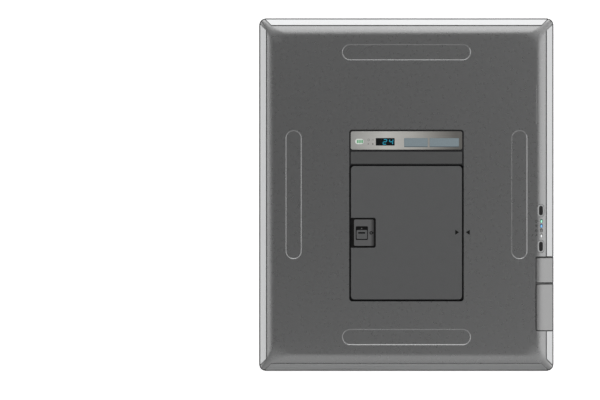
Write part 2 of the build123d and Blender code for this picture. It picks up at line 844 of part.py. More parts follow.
# Flexes from the sensor up to their boards, in separate tails
def flex(name, plane, edge, inward, tails, pitch, tail):
    """Tails of thin flex: out of the sensor, up through the base plate and over a board."""
    low = glass_bottom + flex_lift
    high = board_bottom + board_thickness
    foot = edge - flex_gap + flex_seat_gap
    with BuildPart() as tails_part:
        for index in range(tails):
            middle = (index - (tails - 1) / 2) * pitch
            with BuildSketch(plane.offset(middle - tail / 2)):
                with BuildLine():
                    Polyline(
                        (foot, low),
                        (edge + flex_thickness / 2, low),
                        (edge + flex_thickness / 2, high + flex_thickness),
                        (edge - inward, high + flex_thickness),
                        (edge - inward, high),
                        (edge - flex_thickness / 2, high),
                        (edge - flex_thickness / 2, low + flex_thickness),
                        (foot, low + flex_thickness),
                        close=True,
                    )
                make_face()
            extrude(amount=tail)
    save(tails_part, name)


flex("gate_flex", outward_plane(-1, 0), -gate_flex_x, gate_reach, gate_tails, gate_pitch,
     gate_tail)
flex("readout_flex", outward_plane(0, -1), -readout_flex_y, readout_reach, readout_tails,
     readout_pitch, readout_tail)

# Boards, each with its own parts on top
chip_bottom = board_bottom + board_thickness


def blocks(places, bottom):
    """Blocks of one board: middle x, middle y, size across, size along, height."""
    for x, y, across, along, height in places:
        slab(x - across / 2, y - along / 2, x + across / 2, y + along / 2, bottom, bottom + height)


driver_size = (7.0, 14.0, 1.2)
driver_inset = 6.5
amplifier_size = (12.0, 9.0, 1.2)
amplifier_inset = 7.5
coil_size = (18.0, 18.0, 3.0)
coil_inset = 17.0
coil_places = (-70.0, -40.0, 20.0)
capacitor_radius = 5.0
capacitor_height = 3.4
capacitor_inset = 16.0
capacitor_places = (-60.0, -20.0, 30.0)
for name, place in board_places.items():
    x0, y0, x1, y1 = place
    if name in ("main_board", "wireless_module"):
        continue
    with BuildPart() as board:
        slab(x0, y0, x1, y1, board_bottom, chip_bottom)
        if name == "gate_driver_board":
            blocks([(x1 - driver_inset, (index - (gate_tails - 1) / 2) * gate_pitch, *driver_size)
                    for index in range(gate_tails)], chip_bottom)
        elif name == "readout_board":
            blocks([((index - (readout_tails - 1) / 2) * readout_pitch, y1 - amplifier_inset,
                     *amplifier_size) for index in range(readout_tails)], chip_bottom)
        else:
            blocks([(x0 + coil_inset, y, *coil_size) for y in coil_places], chip_bottom)
            for y in capacitor_places:
                post(x1 - capacitor_inset, y, capacitor_radius, chip_bottom,
                     chip_bottom + capacitor_height)
    save(board, name)

board_left, board_low, board_right, board_high = board_places["main_board"]
main_middle = (board_left + board_right) / 2
with BuildPart() as main_board:
    slab(board_left, board_low, board_right, board_high, board_bottom, chip_bottom)
save(main_board, "main_board")

main_chips = (
    (0, 118, 27, 27, 1.8), (-16, 78, 14, 14, 1.2), (16, 78, 14, 14, 1.2), (0, 24, 23, 23, 1.8),
    (-18, -14, 12, 12, 1.2), (18, -14, 12, 12, 1.2), (0, -42, 16, 16, 1.4),
)
with BuildPart() as main_board_chips:
    blocks([(main_middle + x, *rest) for x, *rest in main_chips], chip_bottom)
save(main_board_chips, "main_board_chips")

can_wall = 0.3
can_margin = 4.0
can_low = 62.0
can_high = 140.0
can_height = 2.8
with BuildPart() as board_shield_can:
    slab(board_left + can_margin, can_low, board_right - can_margin, can_high, chip_bottom,
         chip_bottom + can_height)
    slab(board_left + can_margin + can_wall, can_low + can_wall,
         board_right - can_margin - can_wall, can_high - can_wall, chip_bottom,
         chip_bottom + can_height - can_wall, mode=Mode.SUBTRACT)
save(board_shield_can, "board_shield_can")

radio_margin = 7.0
radio_height = 2.0
with BuildPart() as wireless_module:
    x0, y0, x1, y1 = board_places["wireless_module"]
    slab(x0, y0, x1, y1, board_bottom, chip_bottom)
    slab(x0 + radio_margin, y0 + radio_margin, x1 - radio_margin, y1 - radio_margin, chip_bottom,
         chip_bottom + radio_height)
save(wireless_module, "wireless_module")

# Antennas: one under the fixed cover in the right edge, two beside the top corners
antenna_board = 0.8
antenna_width = 12.0
antenna_inset = 6.0
antenna_end_gap = 10.8
element_height = 1.4
element_margin = 4.0
top_antenna_reach = (120.0, 158.0)
top_antenna_inset = 16.0
top_antenna_width = 10.0
top_element_height = 2.2
top_element_width = 3.0
with BuildPart() as antennas:
    right = half_width - antenna_inset
    low = cover_end + antenna_end_gap
    high = cover_top - antenna_end_gap
    slab(right - antenna_width, low, right, high, port_floor, port_floor + antenna_board)
    slab(right - antenna_width + 2, low + element_margin, right - antenna_width + 5,
         high - element_margin, port_floor + antenna_board,
         port_floor + antenna_board + element_height)
    for sx in (1, -1):
        inner, outer = top_antenna_reach
        low = half_length - top_antenna_inset - top_antenna_width
        slab(sx * inner, low, sx * outer, low + top_antenna_width, base_top,
             base_top + antenna_board)
        slab(sx * (inner + element_margin), low + element_margin, sx * (outer - element_margin),
             low + element_margin + top_element_width, base_top + antenna_board,
             base_top + antenna_board + top_element_height)
save(antennas, "antennas")

# Tray that holds the battery pack and the display, between the base plate and the shell
tray_half = opening_half + tray_wall
bolt_window = 1.0
bolt_window_low = 0.6
bolt_window_high = 0.5
ledge_place = smaller((-plate_half, plate_bottom, plate_half, plate_top), plate_ledge)
with BuildPart() as battery_bay:
    slab(-tray_half, opening_bottom - tray_wall, tray_half, opening_top + tray_wall,
         base_top, shell_inside, opening_radius + tray_wall)
    # battery pocket
    slab(-opening_half, opening_bottom, opening_half, pocket_end,
         tray_floor, shell_inside, opening_radius, mode=Mode.SUBTRACT)
    # hollow below the cover strip's deck
    slab(-opening_half, pocket_end + pocket_wall, opening_half, plate_bottom - plate_ledge,
         base_top, deck_bottom, mode=Mode.SUBTRACT)
    # seats of the strip and the display plate
    slab(-opening_half, pocket_end + pocket_wall, opening_half, opening_top,
         deck_top, shell_inside, mode=Mode.SUBTRACT)
    # display pocket
    slab(*ledge_place, display_floor, shell_inside, mode=Mode.SUBTRACT)
    slab(*ledge_place, base_top, display_floor - display_web, mode=Mode.SUBTRACT)
    # windows for the pack's tongues and for the latch bolt
    for y in tongue_places:
        reach = tongue_length / 2 + tongue_side_gap
        slab(opening_half - 0.1, y - reach, tray_half, y + reach, tongue_bottom - tongue_swing,
             shell_inside, mode=Mode.SUBTRACT)
    slab(-tray_half, bolt_y - bolt_half - bolt_window, -opening_half + 0.1,
         bolt_y + bolt_half + bolt_window, bolt_bottom - bolt_window_low,
         bolt_top + bolt_window_high, mode=Mode.SUBTRACT)
    # place for the battery contacts
    slab(contact_left, -contact_half, contact_right, contact_half, base_top, tray_floor,
         mode=Mode.SUBTRACT)
save(battery_bay, "battery_bay")

with BuildPart() as battery_contacts:
    slab(contact_left + fit_gap, -contact_half + fit_gap, contact_right - fit_gap,
         contact_half - fit_gap, base_top, tray_floor)
    for y in terminal_places:
        half = terminal_half - seat_gap - contact_height
        slab(contact_left + contact_inset, y - half, contact_right - contact_inset, y + half,
             tray_floor, tray_floor + contact_height)
save(battery_contacts, "battery_contacts")

# Cover strip between the pack and the display
with BuildPart() as bay_cover_strip:
    slab(-plate_half, strip_bottom, plate_half, strip_top, deck_top,
         deck_top + strip_thickness, strip_radius)
    chamfer(bay_cover_strip.faces().sort_by(Axis.Z)[-1].edges(), edge_break)
save(bay_cover_strip, "bay_cover_strip")

# Display plate with its windows
with BuildPart() as display_bezel:
    slab(-plate_half, plate_bottom, plate_half, plate_top, plate_seat, plate_face, plate_radius)
    chamfer(display_bezel.faces().sort_by(Axis.Z)[-1].edges(), edge_break)
    slab(*segment_window, plate_seat, thickness, window_radius, mode=Mode.SUBTRACT)
    slab(*gauge_window, plate_seat, thickness, gauge_radius, mode=Mode.SUBTRACT)
    for place in memo_places.values():
        slab(*place, plate_face - memo_depth, thickness, window_radius, mode=Mode.SUBTRACT)
save(display_bezel, "display_bezel")

with BuildPart() as display_board:
    left, low, right, high = smaller(ledge_place, seat_gap)
    slab(left, low, display_board_right, high, display_floor, display_top)
save(display_board, "display_board")

with BuildPart() as seven_segment_display:
    slab(*smaller(segment_window, -segment_margin), display_top, window_bottom)
save(seven_segment_display, "seven_segment_display")

with BuildPart() as battery_level_leds:
    left, low, right, high = gauge_window
    for index in range(gauge_bars):
        middle = left + (right - left) * (index + 1) / (gauge_bars + 1)
        slab(middle - gauge_bar_half, low + gauge_bar_margin, middle + gauge_bar_half,
             high - gauge_bar_margin, display_top, window_bottom)
save(battery_level_leds, "battery_level_leds")

with BuildPart() as display_window:
    slab(*smaller(segment_window, window_gap), window_bottom, window_top,
         window_radius - window_gap)
save(display_window, "display_window")

with BuildPart() as battery_window:
    slab(*smaller(gauge_window, window_gap), window_bottom, window_top,
         gauge_radius - window_gap)
save(battery_window, "battery_window")

for side, place in memo_places.items():
    with BuildPart() as memo_label:
        slab(*smaller(place, window_gap), plate_face - memo_depth, window_top,
             window_radius - window_gap)
    save(memo_label, f"memo_label_{side}")

# Battery pack: a case with a well for the latch, and a cover
with BuildPart() as battery_case:
    slab(-pack_half, pack_bottom, pack_half, pack_top, pack_floor, cover_bottom, pack_radius)
    slab(-pack_half + case_wall, pack_bottom + case_wall, pack_half - case_wall,
         pack_top - case_wall, pack_floor + case_floor, cover_bottom,
         pack_radius - case_wall, mode=Mode.SUBTRACT)
    # block that carries the latch, hollowed for the latch and the bolt's channel
    slab(-pack_half, notch_bottom - case_wall, well_right, notch_top + case_wall,
         pack_floor, cover_bottom)
    slab(-pack_half, notch_bottom, notch_right, notch_top, rail_top, cover_bottom,
         mode=Mode.SUBTRACT)
    slab(-pack_half, bolt_y - bolt_half - channel_gap, latch_right + channel_end_gap,
         bolt_y + bolt_half + channel_gap, well_floor, cover_bottom, mode=Mode.SUBTRACT)
    # gate for the lock pin: a leg at each end of the latch's travel, joined at the slider's rest
    for leg_x in (pin_x, pin_x - latch_travel):
        slab(leg_x - gate_half, pin_y - gate_half, leg_x + gate_half,
             pin_y + lock_travel + gate_half, well_floor - gate_depth, well_floor,
             mode=Mode.SUBTRACT)
    slab(pin_x - latch_travel - gate_half, pin_y - gate_half, pin_x + gate_half,
         pin_y + gate_half, well_floor - gate_depth, well_floor, mode=Mode.SUBTRACT)
    # tongues that hook under the shell
    for y in tongue_places:
        slab(pack_half - case_wall, y - tongue_length / 2, pack_half + tongue_reach,
             y + tongue_length / 2, tongue_bottom, tongue_bottom + tongue_thickness)
    # seats of the terminal pads
    for y in terminal_places:
        slab(contact_left + terminal_inset, y - terminal_half, contact_right - terminal_inset,
             y + terminal_half, pack_floor, pack_floor + contact_height, mode=Mode.SUBTRACT)
save(battery_case, "battery_case")

with BuildPart() as battery_cover:
    slab(-pack_half, pack_bottom, pack_half, pack_top, cover_bottom, cover_top_z, pack_radius)
    # notch for the latch, open at the pack's side
    slab(-pack_half - 2 * pack_radius, notch_bottom, notch_right, notch_top, cover_bottom,
         thickness, notch_radius, mode=Mode.SUBTRACT)
    chamfer(battery_cover.faces().sort_by(Axis.Z)[-1].edges(), pack_edge)
save(battery_cover, "battery_cover")

with BuildPart() as battery_terminal_pads:
    for y in terminal_places:
        slab(*smaller((contact_left + terminal_inset, y - terminal_half,
                       contact_right - terminal_inset, y + terminal_half), window_gap),
             pack_floor, pack_floor + contact_height)
save(battery_terminal_pads, "battery_terminal_pads")

cell_gap = 1.0
cell_radius = 2.0
cell_right = 48.0
cell_bottom = pack_floor + case_floor
cell_top = cover_bottom - seat_gap
cell_left = -pack_half + case_wall + cell_gap
with BuildPart() as battery_cells:
    slab(cell_left, notch_top + case_wall + cell_gap, cell_right, pack_top - case_wall - cell_gap,
         cell_bottom, cell_top, cell_radius)
    slab(cell_left, pack_bottom + case_wall + cell_gap, cell_right,
         notch_bottom - case_wall - cell_gap, cell_bottom, cell_top, cell_radius)
    slab(well_right + cell_gap, notch_bottom - case_wall + cell_gap, cell_right,
         notch_top + case_wall - cell_gap, cell_bottom, cell_top, cell_radius)
save(battery_cells, "battery_cells")

protection_gap = 4.0
protection_low = -104.0
protection_high = 24.0
protection_thickness = 0.8
protection_parts = [(60.0, y, 10.0, 8.0, 1.6) for y in (-86.0, -60.0, -34.0, 6.0)]
with BuildPart() as protection_board:
    slab(cell_right + protection_gap, protection_low, pack_half - case_wall - cell_gap,
         protection_high, cell_bottom, cell_bottom + protection_thickness)
    blocks(protection_parts, cell_bottom + protection_thickness)
save(protection_board, "protection_board")

# Latch: plate with a window for the lock slider, and the bolt below it
with BuildPart() as latch_plate:
    slab(latch_left, latch_bottom, latch_right, latch_top, bolt_top, latch_face,
         latch_radius)
    slab(*lock_window, bolt_top, latch_face, lock_window_radius, mode=Mode.SUBTRACT)
    # finger ramp at the right end
    with BuildSketch(Plane.XZ.offset(-latch_top - 1)):
        with BuildLine():
            Polyline((latch_right - ramp_width, latch_face), (latch_right, latch_face - ramp_drop),
                     (latch_right + 1, latch_face - ramp_drop), (latch_right + 1, thickness),
                     (latch_right - ramp_width, thickness), close=True)
        make_face()
    extrude(amount=latch_top - latch_bottom + 2, mode=Mode.SUBTRACT)
save(latch_plate, "latch_plate")

bolt_chamfer = 1.0
bolt_end_inset = 1.0
with BuildPart() as latch_bolt:
    slab(bolt_tip, bolt_y - bolt_half, latch_right - bolt_end_inset, bolt_y + bolt_half,
         bolt_bottom, bolt_top)
    chamfer(latch_bolt.edges().filter_by(Axis.Z).group_by(Axis.X)[0], bolt_chamfer)
    slab(pin_x - gate_half, pin_y - gate_half, pin_x + gate_half,
         pin_y + lock_travel + gate_half, bolt_bottom, bolt_top, mode=Mode.SUBTRACT)
save(latch_bolt, "latch_bolt")

with BuildPart() as lock_slider:
    slab(lock_left, lock_bottom, lock_right, lock_bottom + lock_height, bolt_top + rail_gap,
         lock_face, lock_radius)
    chamfer(lock_slider.faces().sort_by(Axis.Z)[-1].edges(), edge_break)
    slab(lock_left + groove_left, lock_bottom + groove_rise,
         lock_left + groove_left + groove_length, lock_bottom + groove_rise + groove_height,
         lock_face - groove_depth, lock_face, groove_radius, mode=Mode.SUBTRACT)
    post(pin_x, pin_y, lock_pin_radius, well_floor - gate_depth + channel_gap,
         bolt_top + 2 * rail_gap)
save(lock_slider, "lock_slider")

# Buttons, each a cap with a flange that keeps it in the wall
for name, y in button_places.items():
    with BuildPart() as button:
        pill(control_x, y, wider(button_size, flange_width), flange_top - flange_height,
             flange_top)
        pill(control_x, y, button_size, flange_top, button_face)
        chamfer(button.faces().sort_by(Axis.Z)[-1].edges(), button_edge)
    save(button, f"{name}_button")

with BuildPart() as switch_board:
    slab(control_x - switch_board_half - 0.7, controls_low - switch_board_margin,
         control_x + switch_board_half - 0.7, controls_high + switch_board_margin,
         switch_board_bottom, switch_board_top)
    blocks([(control_x, y, 2 * switch_half, 2 * switch_half, switch_height)
            for y in button_places.values()], switch_board_top)
save(switch_board, "switch_board")

# Status lights: light pipes from the switch board up to the curved edge
envelope = crossed(round_section, frame_height)
for index, y in enumerate(lens_places):
    with BuildPart() as status_lens:
        pill(lens_x, y, lens_size, switch_board_top + lens_lift, thickness)
        add(envelope.moved(Location((0, 0, -lens_drop))), mode=Mode.INTERSECT)
    save(status_lens, f"status_lens_{index + 1}")


# Flap and fixed cover: skins that follow the section of the edge
def edge_skin(first, last):
    """A skin between two places along the right edge, from the hinge side to the outside."""
    with BuildPart() as skin:
        with BuildSketch(outward_plane(1, 0)) as section:
            centre_z = thickness - edge_radius
            inner = edge_radius - skin_wall
            run_end = half_width - flat_start
            underside = skin_wall / cos(bevel_angle)
            with BuildLine():
                Polyline(
                    (half_width - groove_inner, bevel_top),
                    (half_width, edge_height(0)),
                    (half_width, frame_height + trim_lift),
                    (half_width - trim_wall, frame_height + trim_lift),
                    (half_width - trim_wall, edge_height(trim_wall) - underside),
                    (run_end + inner * sin(bevel_angle), centre_z + inner * cos(bevel_angle)),
                )
                TangentArc(
                    (run_end + inner * sin(bevel_angle), centre_z + inner * cos(bevel_angle)),
                    (run_end, centre_z + inner),
                    tangent=(-cos(bevel_angle), sin(bevel_angle)),
                )
                Line((run_end, centre_z + inner), (run_end, thickness))
                TangentArc((run_end, thickness), (half_width - groove_inner, bevel_top),
                           tangent=(1, 0))
            make_face()
            shoulder = section.vertices().sort_by_distance((half_width, edge_height(0)))[0]
            chamfer(shoulder, side_break)
        extrude(amount=length, both=True)
        slab(flap_left, first, half_width + port_inset, last, 0, thickness, skin_radius,
             mode=Mode.INTERSECT)
    return skin.part


with BuildPart() as connector_flap:
    add(edge_skin(flap_bottom, flap_top))
    # thinner over the hinge, so that the pin and the lugs clear it
    slab(flap_left - 1, flap_bottom, relief_right, flap_top, 0,
         hinge_z + knuckle_radius + hinge_relief, mode=Mode.SUBTRACT)
    for y in knuckle_places:
        slab(hinge_x - knuckle_radius, y - knuckle_length / 2, hinge_x + knuckle_radius,
             y + knuckle_length / 2, hinge_z,
             hinge_z + knuckle_radius + hinge_relief + knuckle_overlap)
        hinge_disc(y, knuckle_length, knuckle_radius)
        hinge_disc(y, knuckle_length, pin_radius + hinge_gap, mode=Mode.SUBTRACT)
save(connector_flap, "connector_flap")

with BuildPart() as flap_hinge_pin:
    hinge_disc((lug_places[0] + lug_places[1]) / 2, lug_places[0] - lug_places[1] + lug_length,
               pin_radius)
save(flap_hinge_pin, "flap_hinge_pin")

with BuildPart() as antenna_cover:
    add(edge_skin(cover_end, cover_top))
    for y in (cover_top - rib_inset_high - rib_thickness, cover_end + rib_inset_low):
        slab(flap_left + 1, y, half_width - groove_inner - 2, y + rib_thickness, port_floor,
             bevel_top - rib_drop)
save(antenna_cover, "antenna_cover")

# Cable socket behind the flap, with its mouth towards the outside
with BuildPart() as cable_socket:
    slab(socket_left, socket_bottom_y, socket_right, socket_top_y, port_floor, socket_height)
    slab(socket_right - mouth_depth, socket_bottom_y + mouth_side, socket_right,
         socket_top_y - mouth_side, port_floor + mouth_wall, socket_height - mouth_wall,
         mode=Mode.SUBTRACT)
save(cable_socket, "cable_socket")

with BuildPart() as socket_pins:
    middle_y = (socket_bottom_y + socket_top_y) / 2
    middle_z = (port_floor + socket_height) / 2
    for index in range(socket_pin_count):
        y = middle_y + (index - (socket_pin_count - 1) / 2) * socket_pin_pitch
        for z in (middle_z - socket_row, middle_z + socket_row):
            with BuildSketch(Plane.YZ.offset(socket_right - mouth_depth)):
                with Locations((y, z)):
                    Circle(socket_pin_radius)
            extrude(amount=socket_pin_length)
save(socket_pins, "socket_pins")
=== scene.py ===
import math

import bmesh
import bpy
from bpy.props import FloatProperty, FloatVectorProperty, PointerProperty
from bpy.types import Operator, Panel, PropertyGroup
from mathutils import Matrix, Vector


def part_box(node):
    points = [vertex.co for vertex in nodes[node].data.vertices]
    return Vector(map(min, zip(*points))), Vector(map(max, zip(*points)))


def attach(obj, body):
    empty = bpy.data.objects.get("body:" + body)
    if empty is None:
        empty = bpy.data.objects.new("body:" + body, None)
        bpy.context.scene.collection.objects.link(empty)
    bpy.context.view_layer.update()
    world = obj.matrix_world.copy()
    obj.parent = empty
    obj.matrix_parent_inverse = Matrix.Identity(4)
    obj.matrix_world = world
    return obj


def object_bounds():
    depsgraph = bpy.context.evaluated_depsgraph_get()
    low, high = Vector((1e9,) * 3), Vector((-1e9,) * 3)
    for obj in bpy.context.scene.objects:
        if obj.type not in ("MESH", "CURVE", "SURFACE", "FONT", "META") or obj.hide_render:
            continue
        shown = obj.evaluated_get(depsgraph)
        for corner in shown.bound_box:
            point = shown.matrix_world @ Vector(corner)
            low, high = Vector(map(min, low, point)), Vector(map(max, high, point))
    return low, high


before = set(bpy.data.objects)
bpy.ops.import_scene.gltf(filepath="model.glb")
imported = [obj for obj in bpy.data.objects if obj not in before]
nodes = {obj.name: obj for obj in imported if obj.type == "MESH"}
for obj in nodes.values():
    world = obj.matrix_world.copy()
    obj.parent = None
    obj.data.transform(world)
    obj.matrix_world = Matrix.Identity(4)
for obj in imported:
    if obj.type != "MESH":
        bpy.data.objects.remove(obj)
cad_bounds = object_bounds()

bl_info = {
    "name": "Flat panel detector",
    "version": (1, 0, 0),
    "blender": (4, 5, 0),
    "location": "View3D > Sidebar > Detector",
    "description": "Finishes and small pieces of a flat panel x-ray detector, set on its packed frame",
    "category": "Object",
}

millimetre = 0.001
# Faces less level than this, near the outline, get a darker copy of their material as painted shade.
painted_shade_slope = 0.93        # faces less level than this are sides
noise_low, noise_high = 0.3, 0.7        # nearly all of a noise lies between these


class DetectorSizes(PropertyGroup):
    """Sizes of roundings, of marks and of the floor."""

    edge_round: FloatProperty(
        name="Edge rounding", description="Rounding of the trims' edges",
        default=0.35 * millimetre, unit="LENGTH", precision=5)
    cover_round: FloatProperty(
        name="Cover rounding", description="Rounding of covers and plates",
        default=0.3 * millimetre, unit="LENGTH", precision=5)
    mark_lift: FloatProperty(
        name="Mark lift", description="How far a printed mark stands off its face",
        default=0.04 * millimetre, unit="LENGTH", precision=6)
    digit_height: FloatProperty(
        name="Digit height", description="Height of the lit digits",
        default=7.4 * millimetre, unit="LENGTH", precision=5)
    digit_width: FloatProperty(
        name="Digit width", description="Width of one lit digit",
        default=5.3 * millimetre, unit="LENGTH", precision=5)
    digit_lean: FloatProperty(
        name="Digit lean", description="How far a digit's top leans over",
        default=0.9 * millimetre, unit="LENGTH", precision=5)
    segment_width: FloatProperty(
        name="Segment width", description="Width of one bar of a digit",
        default=1.0 * millimetre, unit="LENGTH", precision=5)
    arrow_width: FloatProperty(
        name="Arrow width", description="Width of the arrows beside the battery pack",
        default=5.1 * millimetre, unit="LENGTH", precision=5)
    arrow_height: FloatProperty(
        name="Arrow height", description="Height of the arrows beside the battery pack",
        default=6.5 * millimetre, unit="LENGTH", precision=5)
    floor_size: FloatProperty(
        name="Floor size", description="Side of the pale floor",
        default=14.0, unit="LENGTH")


class DetectorFinish(PropertyGroup):
    """Colours and gloss of the largest surfaces."""

    shell: FloatVectorProperty(
        name="Shell", description="Coat of the rear shell",
        default=(0.25, 0.251, 0.252), subtype="COLOR", min=0, max=1)
    # A dark copy of the shell's coat, painted shade on its outer sides at the corners.
    shell_side_painted_shade: FloatVectorProperty(
        name="Shell side", description="Outer side of the shell at its corners",
        default=(0.05, 0.05, 0.05), subtype="COLOR", min=0, max=1)
    trim: FloatVectorProperty(
        name="Trim", description="Anodised edge trims",
        default=(0.405, 0.409, 0.412), subtype="COLOR", min=0, max=1)
    # A dark copy of the trims' colour, painted shade on their outer sides.
    trim_side_painted_shade: FloatVectorProperty(
        name="Trim side", description="Outer side of the edge trims",
        default=(0.06, 0.06, 0.061), subtype="COLOR", min=0, max=1)
    pack: FloatVectorProperty(
        name="Battery pack", description="Face of the battery pack",
        default=(0.069, 0.070, 0.071), subtype="COLOR", min=0, max=1)
    strip: FloatVectorProperty(
        name="Cover strip", description="Strip between the pack and the display",
        default=(0.0525, 0.0533, 0.0533), subtype="COLOR", min=0, max=1)
    flap: FloatVectorProperty(
        name="Flap", description="Flap and fixed cover on the right edge",
        default=(0.24, 0.24, 0.24), subtype="COLOR", min=0, max=1)
    shell_roughness: FloatProperty(
        name="Shell roughness", description="Gloss of the shell's coat",
        default=0.28, min=0, max=1, subtype="FACTOR")
    trim_roughness: FloatProperty(
        name="Trim roughness", description="Gloss of the trims",
        default=0.30, min=0, max=1, subtype="FACTOR")


class DetectorStage(PropertyGroup):
    """Camera and light."""

    frame_width: FloatProperty(
        name="Picture width", description="Width that the picture takes in at the back's height",
        default=0.7814, unit="LENGTH")
    lens: FloatProperty(name="Lens", description="Focal length", default=200.0, unit="CAMERA")
    camera_x: FloatProperty(name="Camera X", description="Across", default=-0.1387, unit="LENGTH")
    camera_y: FloatProperty(name="Camera Y", description="Along", default=-0.0070, unit="LENGTH")
    world_level: FloatProperty(
        name="World level", description="Even light from all round", default=0.135, min=0)
    top_level: FloatProperty(
        name="Top light", description="Brightness of the light beyond the display end",
        default=2.25, min=0)
    top_tilt: FloatProperty(
        name="Top light's tilt", description="Angle from straight up to that light",
        default=math.radians(47), subtype="ANGLE")
    left_level: FloatProperty(
        name="Left light", description="Brightness of the light on the left", default=1.55, min=0)
    left_tilt: FloatProperty(
        name="Left light's tilt", description="Angle from straight up to that light",
        default=math.radians(52), subtype="ANGLE")
    right_level: FloatProperty(
        name="Right light", description="Brightness of the light on the right",
        default=1.66, min=0)
    right_tilt: FloatProperty(
        name="Right light's tilt", description="Angle from straight up to that light",
        default=math.radians(44), subtype="ANGLE")
    bottom_level: FloatProperty(
        name="Bottom light", description="Brightness of the light at the pack end",
        default=0.8, min=0)
    bottom_tilt: FloatProperty(
        name="Bottom light's tilt", description="Angle from straight up to that light",
        default=math.radians(28), subtype="ANGLE")
    low_level: FloatProperty(
        name="Low lights", description="Brightness of the low lights that show the grips' rims",
        default=1.5, min=0)
    low_tilt: FloatProperty(
        name="Low lights' tilt", description="Angle from straight up to those lights",
        default=math.radians(69), subtype="ANGLE")


def millimetres(*values):
    return [value * millimetre for value in values]


def sizes():
    return bpy.context.scene.detector_sizes


def colours():
    return bpy.context.scene.detector_finish


def stage_settings():
    return bpy.context.scene.detector_stage


# Materials


def new_material(name, colour, roughness, metallic=0.0, specular=0.5):
    """A material, its node tree and its shader, or one made before, with None for those two."""
    if name in bpy.data.materials:
        return bpy.data.materials[name], None, None
    material = bpy.data.materials.new(name)
    material.use_nodes = True
    shader = material.node_tree.nodes["Principled BSDF"]
    shader.inputs["Base Color"].default_value = (*colour[:3], 1.0)
    shader.inputs["Roughness"].default_value = roughness
    shader.inputs["Metallic"].default_value = metallic
    shader.inputs["Specular IOR Level"].default_value = specular
    return material, material.node_tree, shader


def object_coordinates(tree, scale=(1, 1, 1), turn=(0, 0, 0)):
    """Object coordinates through a Mapping node."""
    coordinates = tree.nodes.new("ShaderNodeTexCoord")
    mapping = tree.nodes.new("ShaderNodeMapping")
    mapping.inputs["Scale"].default_value = scale
    mapping.inputs["Rotation"].default_value = turn
    tree.links.new(coordinates.outputs["Object"], mapping.inputs["Vector"])
    return mapping.outputs["Vector"]


def noise(tree, vector, scale, detail=2.0, roughness=0.5):
    texture = tree.nodes.new("ShaderNodeTexNoise")
    texture.inputs["Scale"].default_value = scale
    texture.inputs["Detail"].default_value = detail
    texture.inputs["Roughness"].default_value = roughness
    tree.links.new(vector, texture.inputs["Vector"])
    return texture.outputs["Fac"]


def spread(tree, value, low, high):
    """A noise spread over another range."""
    remap = tree.nodes.new("ShaderNodeMapRange")
    remap.inputs["From Min"].default_value = noise_low
    remap.inputs["From Max"].default_value = noise_high
    remap.inputs["To Min"].default_value = low
    remap.inputs["To Max"].default_value = high
    tree.links.new(value, remap.inputs["Value"])
    return remap.outputs["Result"]


def tint(tree, shader, colour, value, amount):
    """Base colour made darker and lighter round itself by a texture."""
    darker = [part * (1 - amount) for part in colour[:3]]
    lighter = [min(1.0, part * (1 + amount)) for part in colour[:3]]
    ramp = tree.nodes.new("ShaderNodeValToRGB")
    ramp.color_ramp.elements[0].position = noise_low
    ramp.color_ramp.elements[1].position = noise_high
    ramp.color_ramp.elements[0].color = (*darker, 1.0)
    ramp.color_ramp.elements[1].color = (*lighter, 1.0)
    tree.links.new(value, ramp.inputs["Fac"])
    tree.links.new(ramp.outputs["Color"], shader.inputs["Base Color"])
    return ramp


def bump(tree, shader, value, strength, distance):
    """A texture raised on the surface; distance is its height in metres."""
    node = tree.nodes.new("ShaderNodeBump")
    node.inputs["Strength"].default_value = strength
    node.inputs["Distance"].default_value = distance
    tree.links.new(value, node.inputs["Height"])
    tree.links.new(node.outputs["Normal"], shader.inputs["Normal"])


def along_x(tree, start, end, clamp=True):
    """How far a place lies on the way from one X to another, 0 to 1."""
    coordinates = tree.nodes.new("ShaderNodeTexCoord")
    split = tree.nodes.new("ShaderNodeSeparateXYZ")
    way = tree.nodes.new("ShaderNodeMapRange")
    way.inputs["From Min"].default_value = start
    way.inputs["From Max"].default_value = end
    way.clamp = clamp
    tree.links.new(coordinates.outputs["Object"], split.inputs["Vector"])
    tree.links.new(split.outputs["X"], way.inputs["Value"])
    return way.outputs["Result"]


def coated_metal(name, colour, roughness):
    """Satin paint with fine flake, as on a cast alloy shell."""
    material, tree, shader = new_material(name, colour, roughness, 0.9)
    if tree:
        fine = object_coordinates(tree)
        flake = noise(tree, fine, 1400.0, 3.0, 0.6)
        tint(tree, shader, colour, flake, 0.04)
        tree.links.new(spread(tree, noise(tree, fine, 260.0), roughness - 0.01, roughness + 0.02),
                       shader.inputs["Roughness"])
        bump(tree, shader, flake, 0.015, 0.0002)
    return material


def drawn_metal(name, colour, roughness, along):
    """Anodised strip with faint lines drawn along it; along is its direction."""
    material, tree, shader = new_material(name, colour, roughness, 1.0)
    if tree:
        stretch = (6, 900, 900) if along == "X" else (900, 6, 900)
        lines = noise(tree, object_coordinates(tree, stretch), 1.0, 3.0, 0.65)
        tint(tree, shader, colour, lines, 0.05)
        tree.links.new(spread(tree, lines, roughness - 0.04, roughness + 0.05),
                       shader.inputs["Roughness"])
        bump(tree, shader, lines, 0.05, 0.0001)
    return material


def moulded(name, colour, roughness=0.45, grain=900.0, depth=0.08, specular=0.5):
    """Moulded plastic with a fine spark texture."""
    material, tree, shader = new_material(name, colour, roughness, 0.0, specular)
    if tree:
        vector = object_coordinates(tree)
        spark = noise(tree, vector, grain, 3.0, 0.6)
        tint(tree, shader, colour, spark, 0.06)
        tree.links.new(spread(tree, noise(tree, vector, 120.0), roughness - 0.03, roughness + 0.04),
                       shader.inputs["Roughness"])
        bump(tree, shader, spark, depth, 0.0002)
    return material


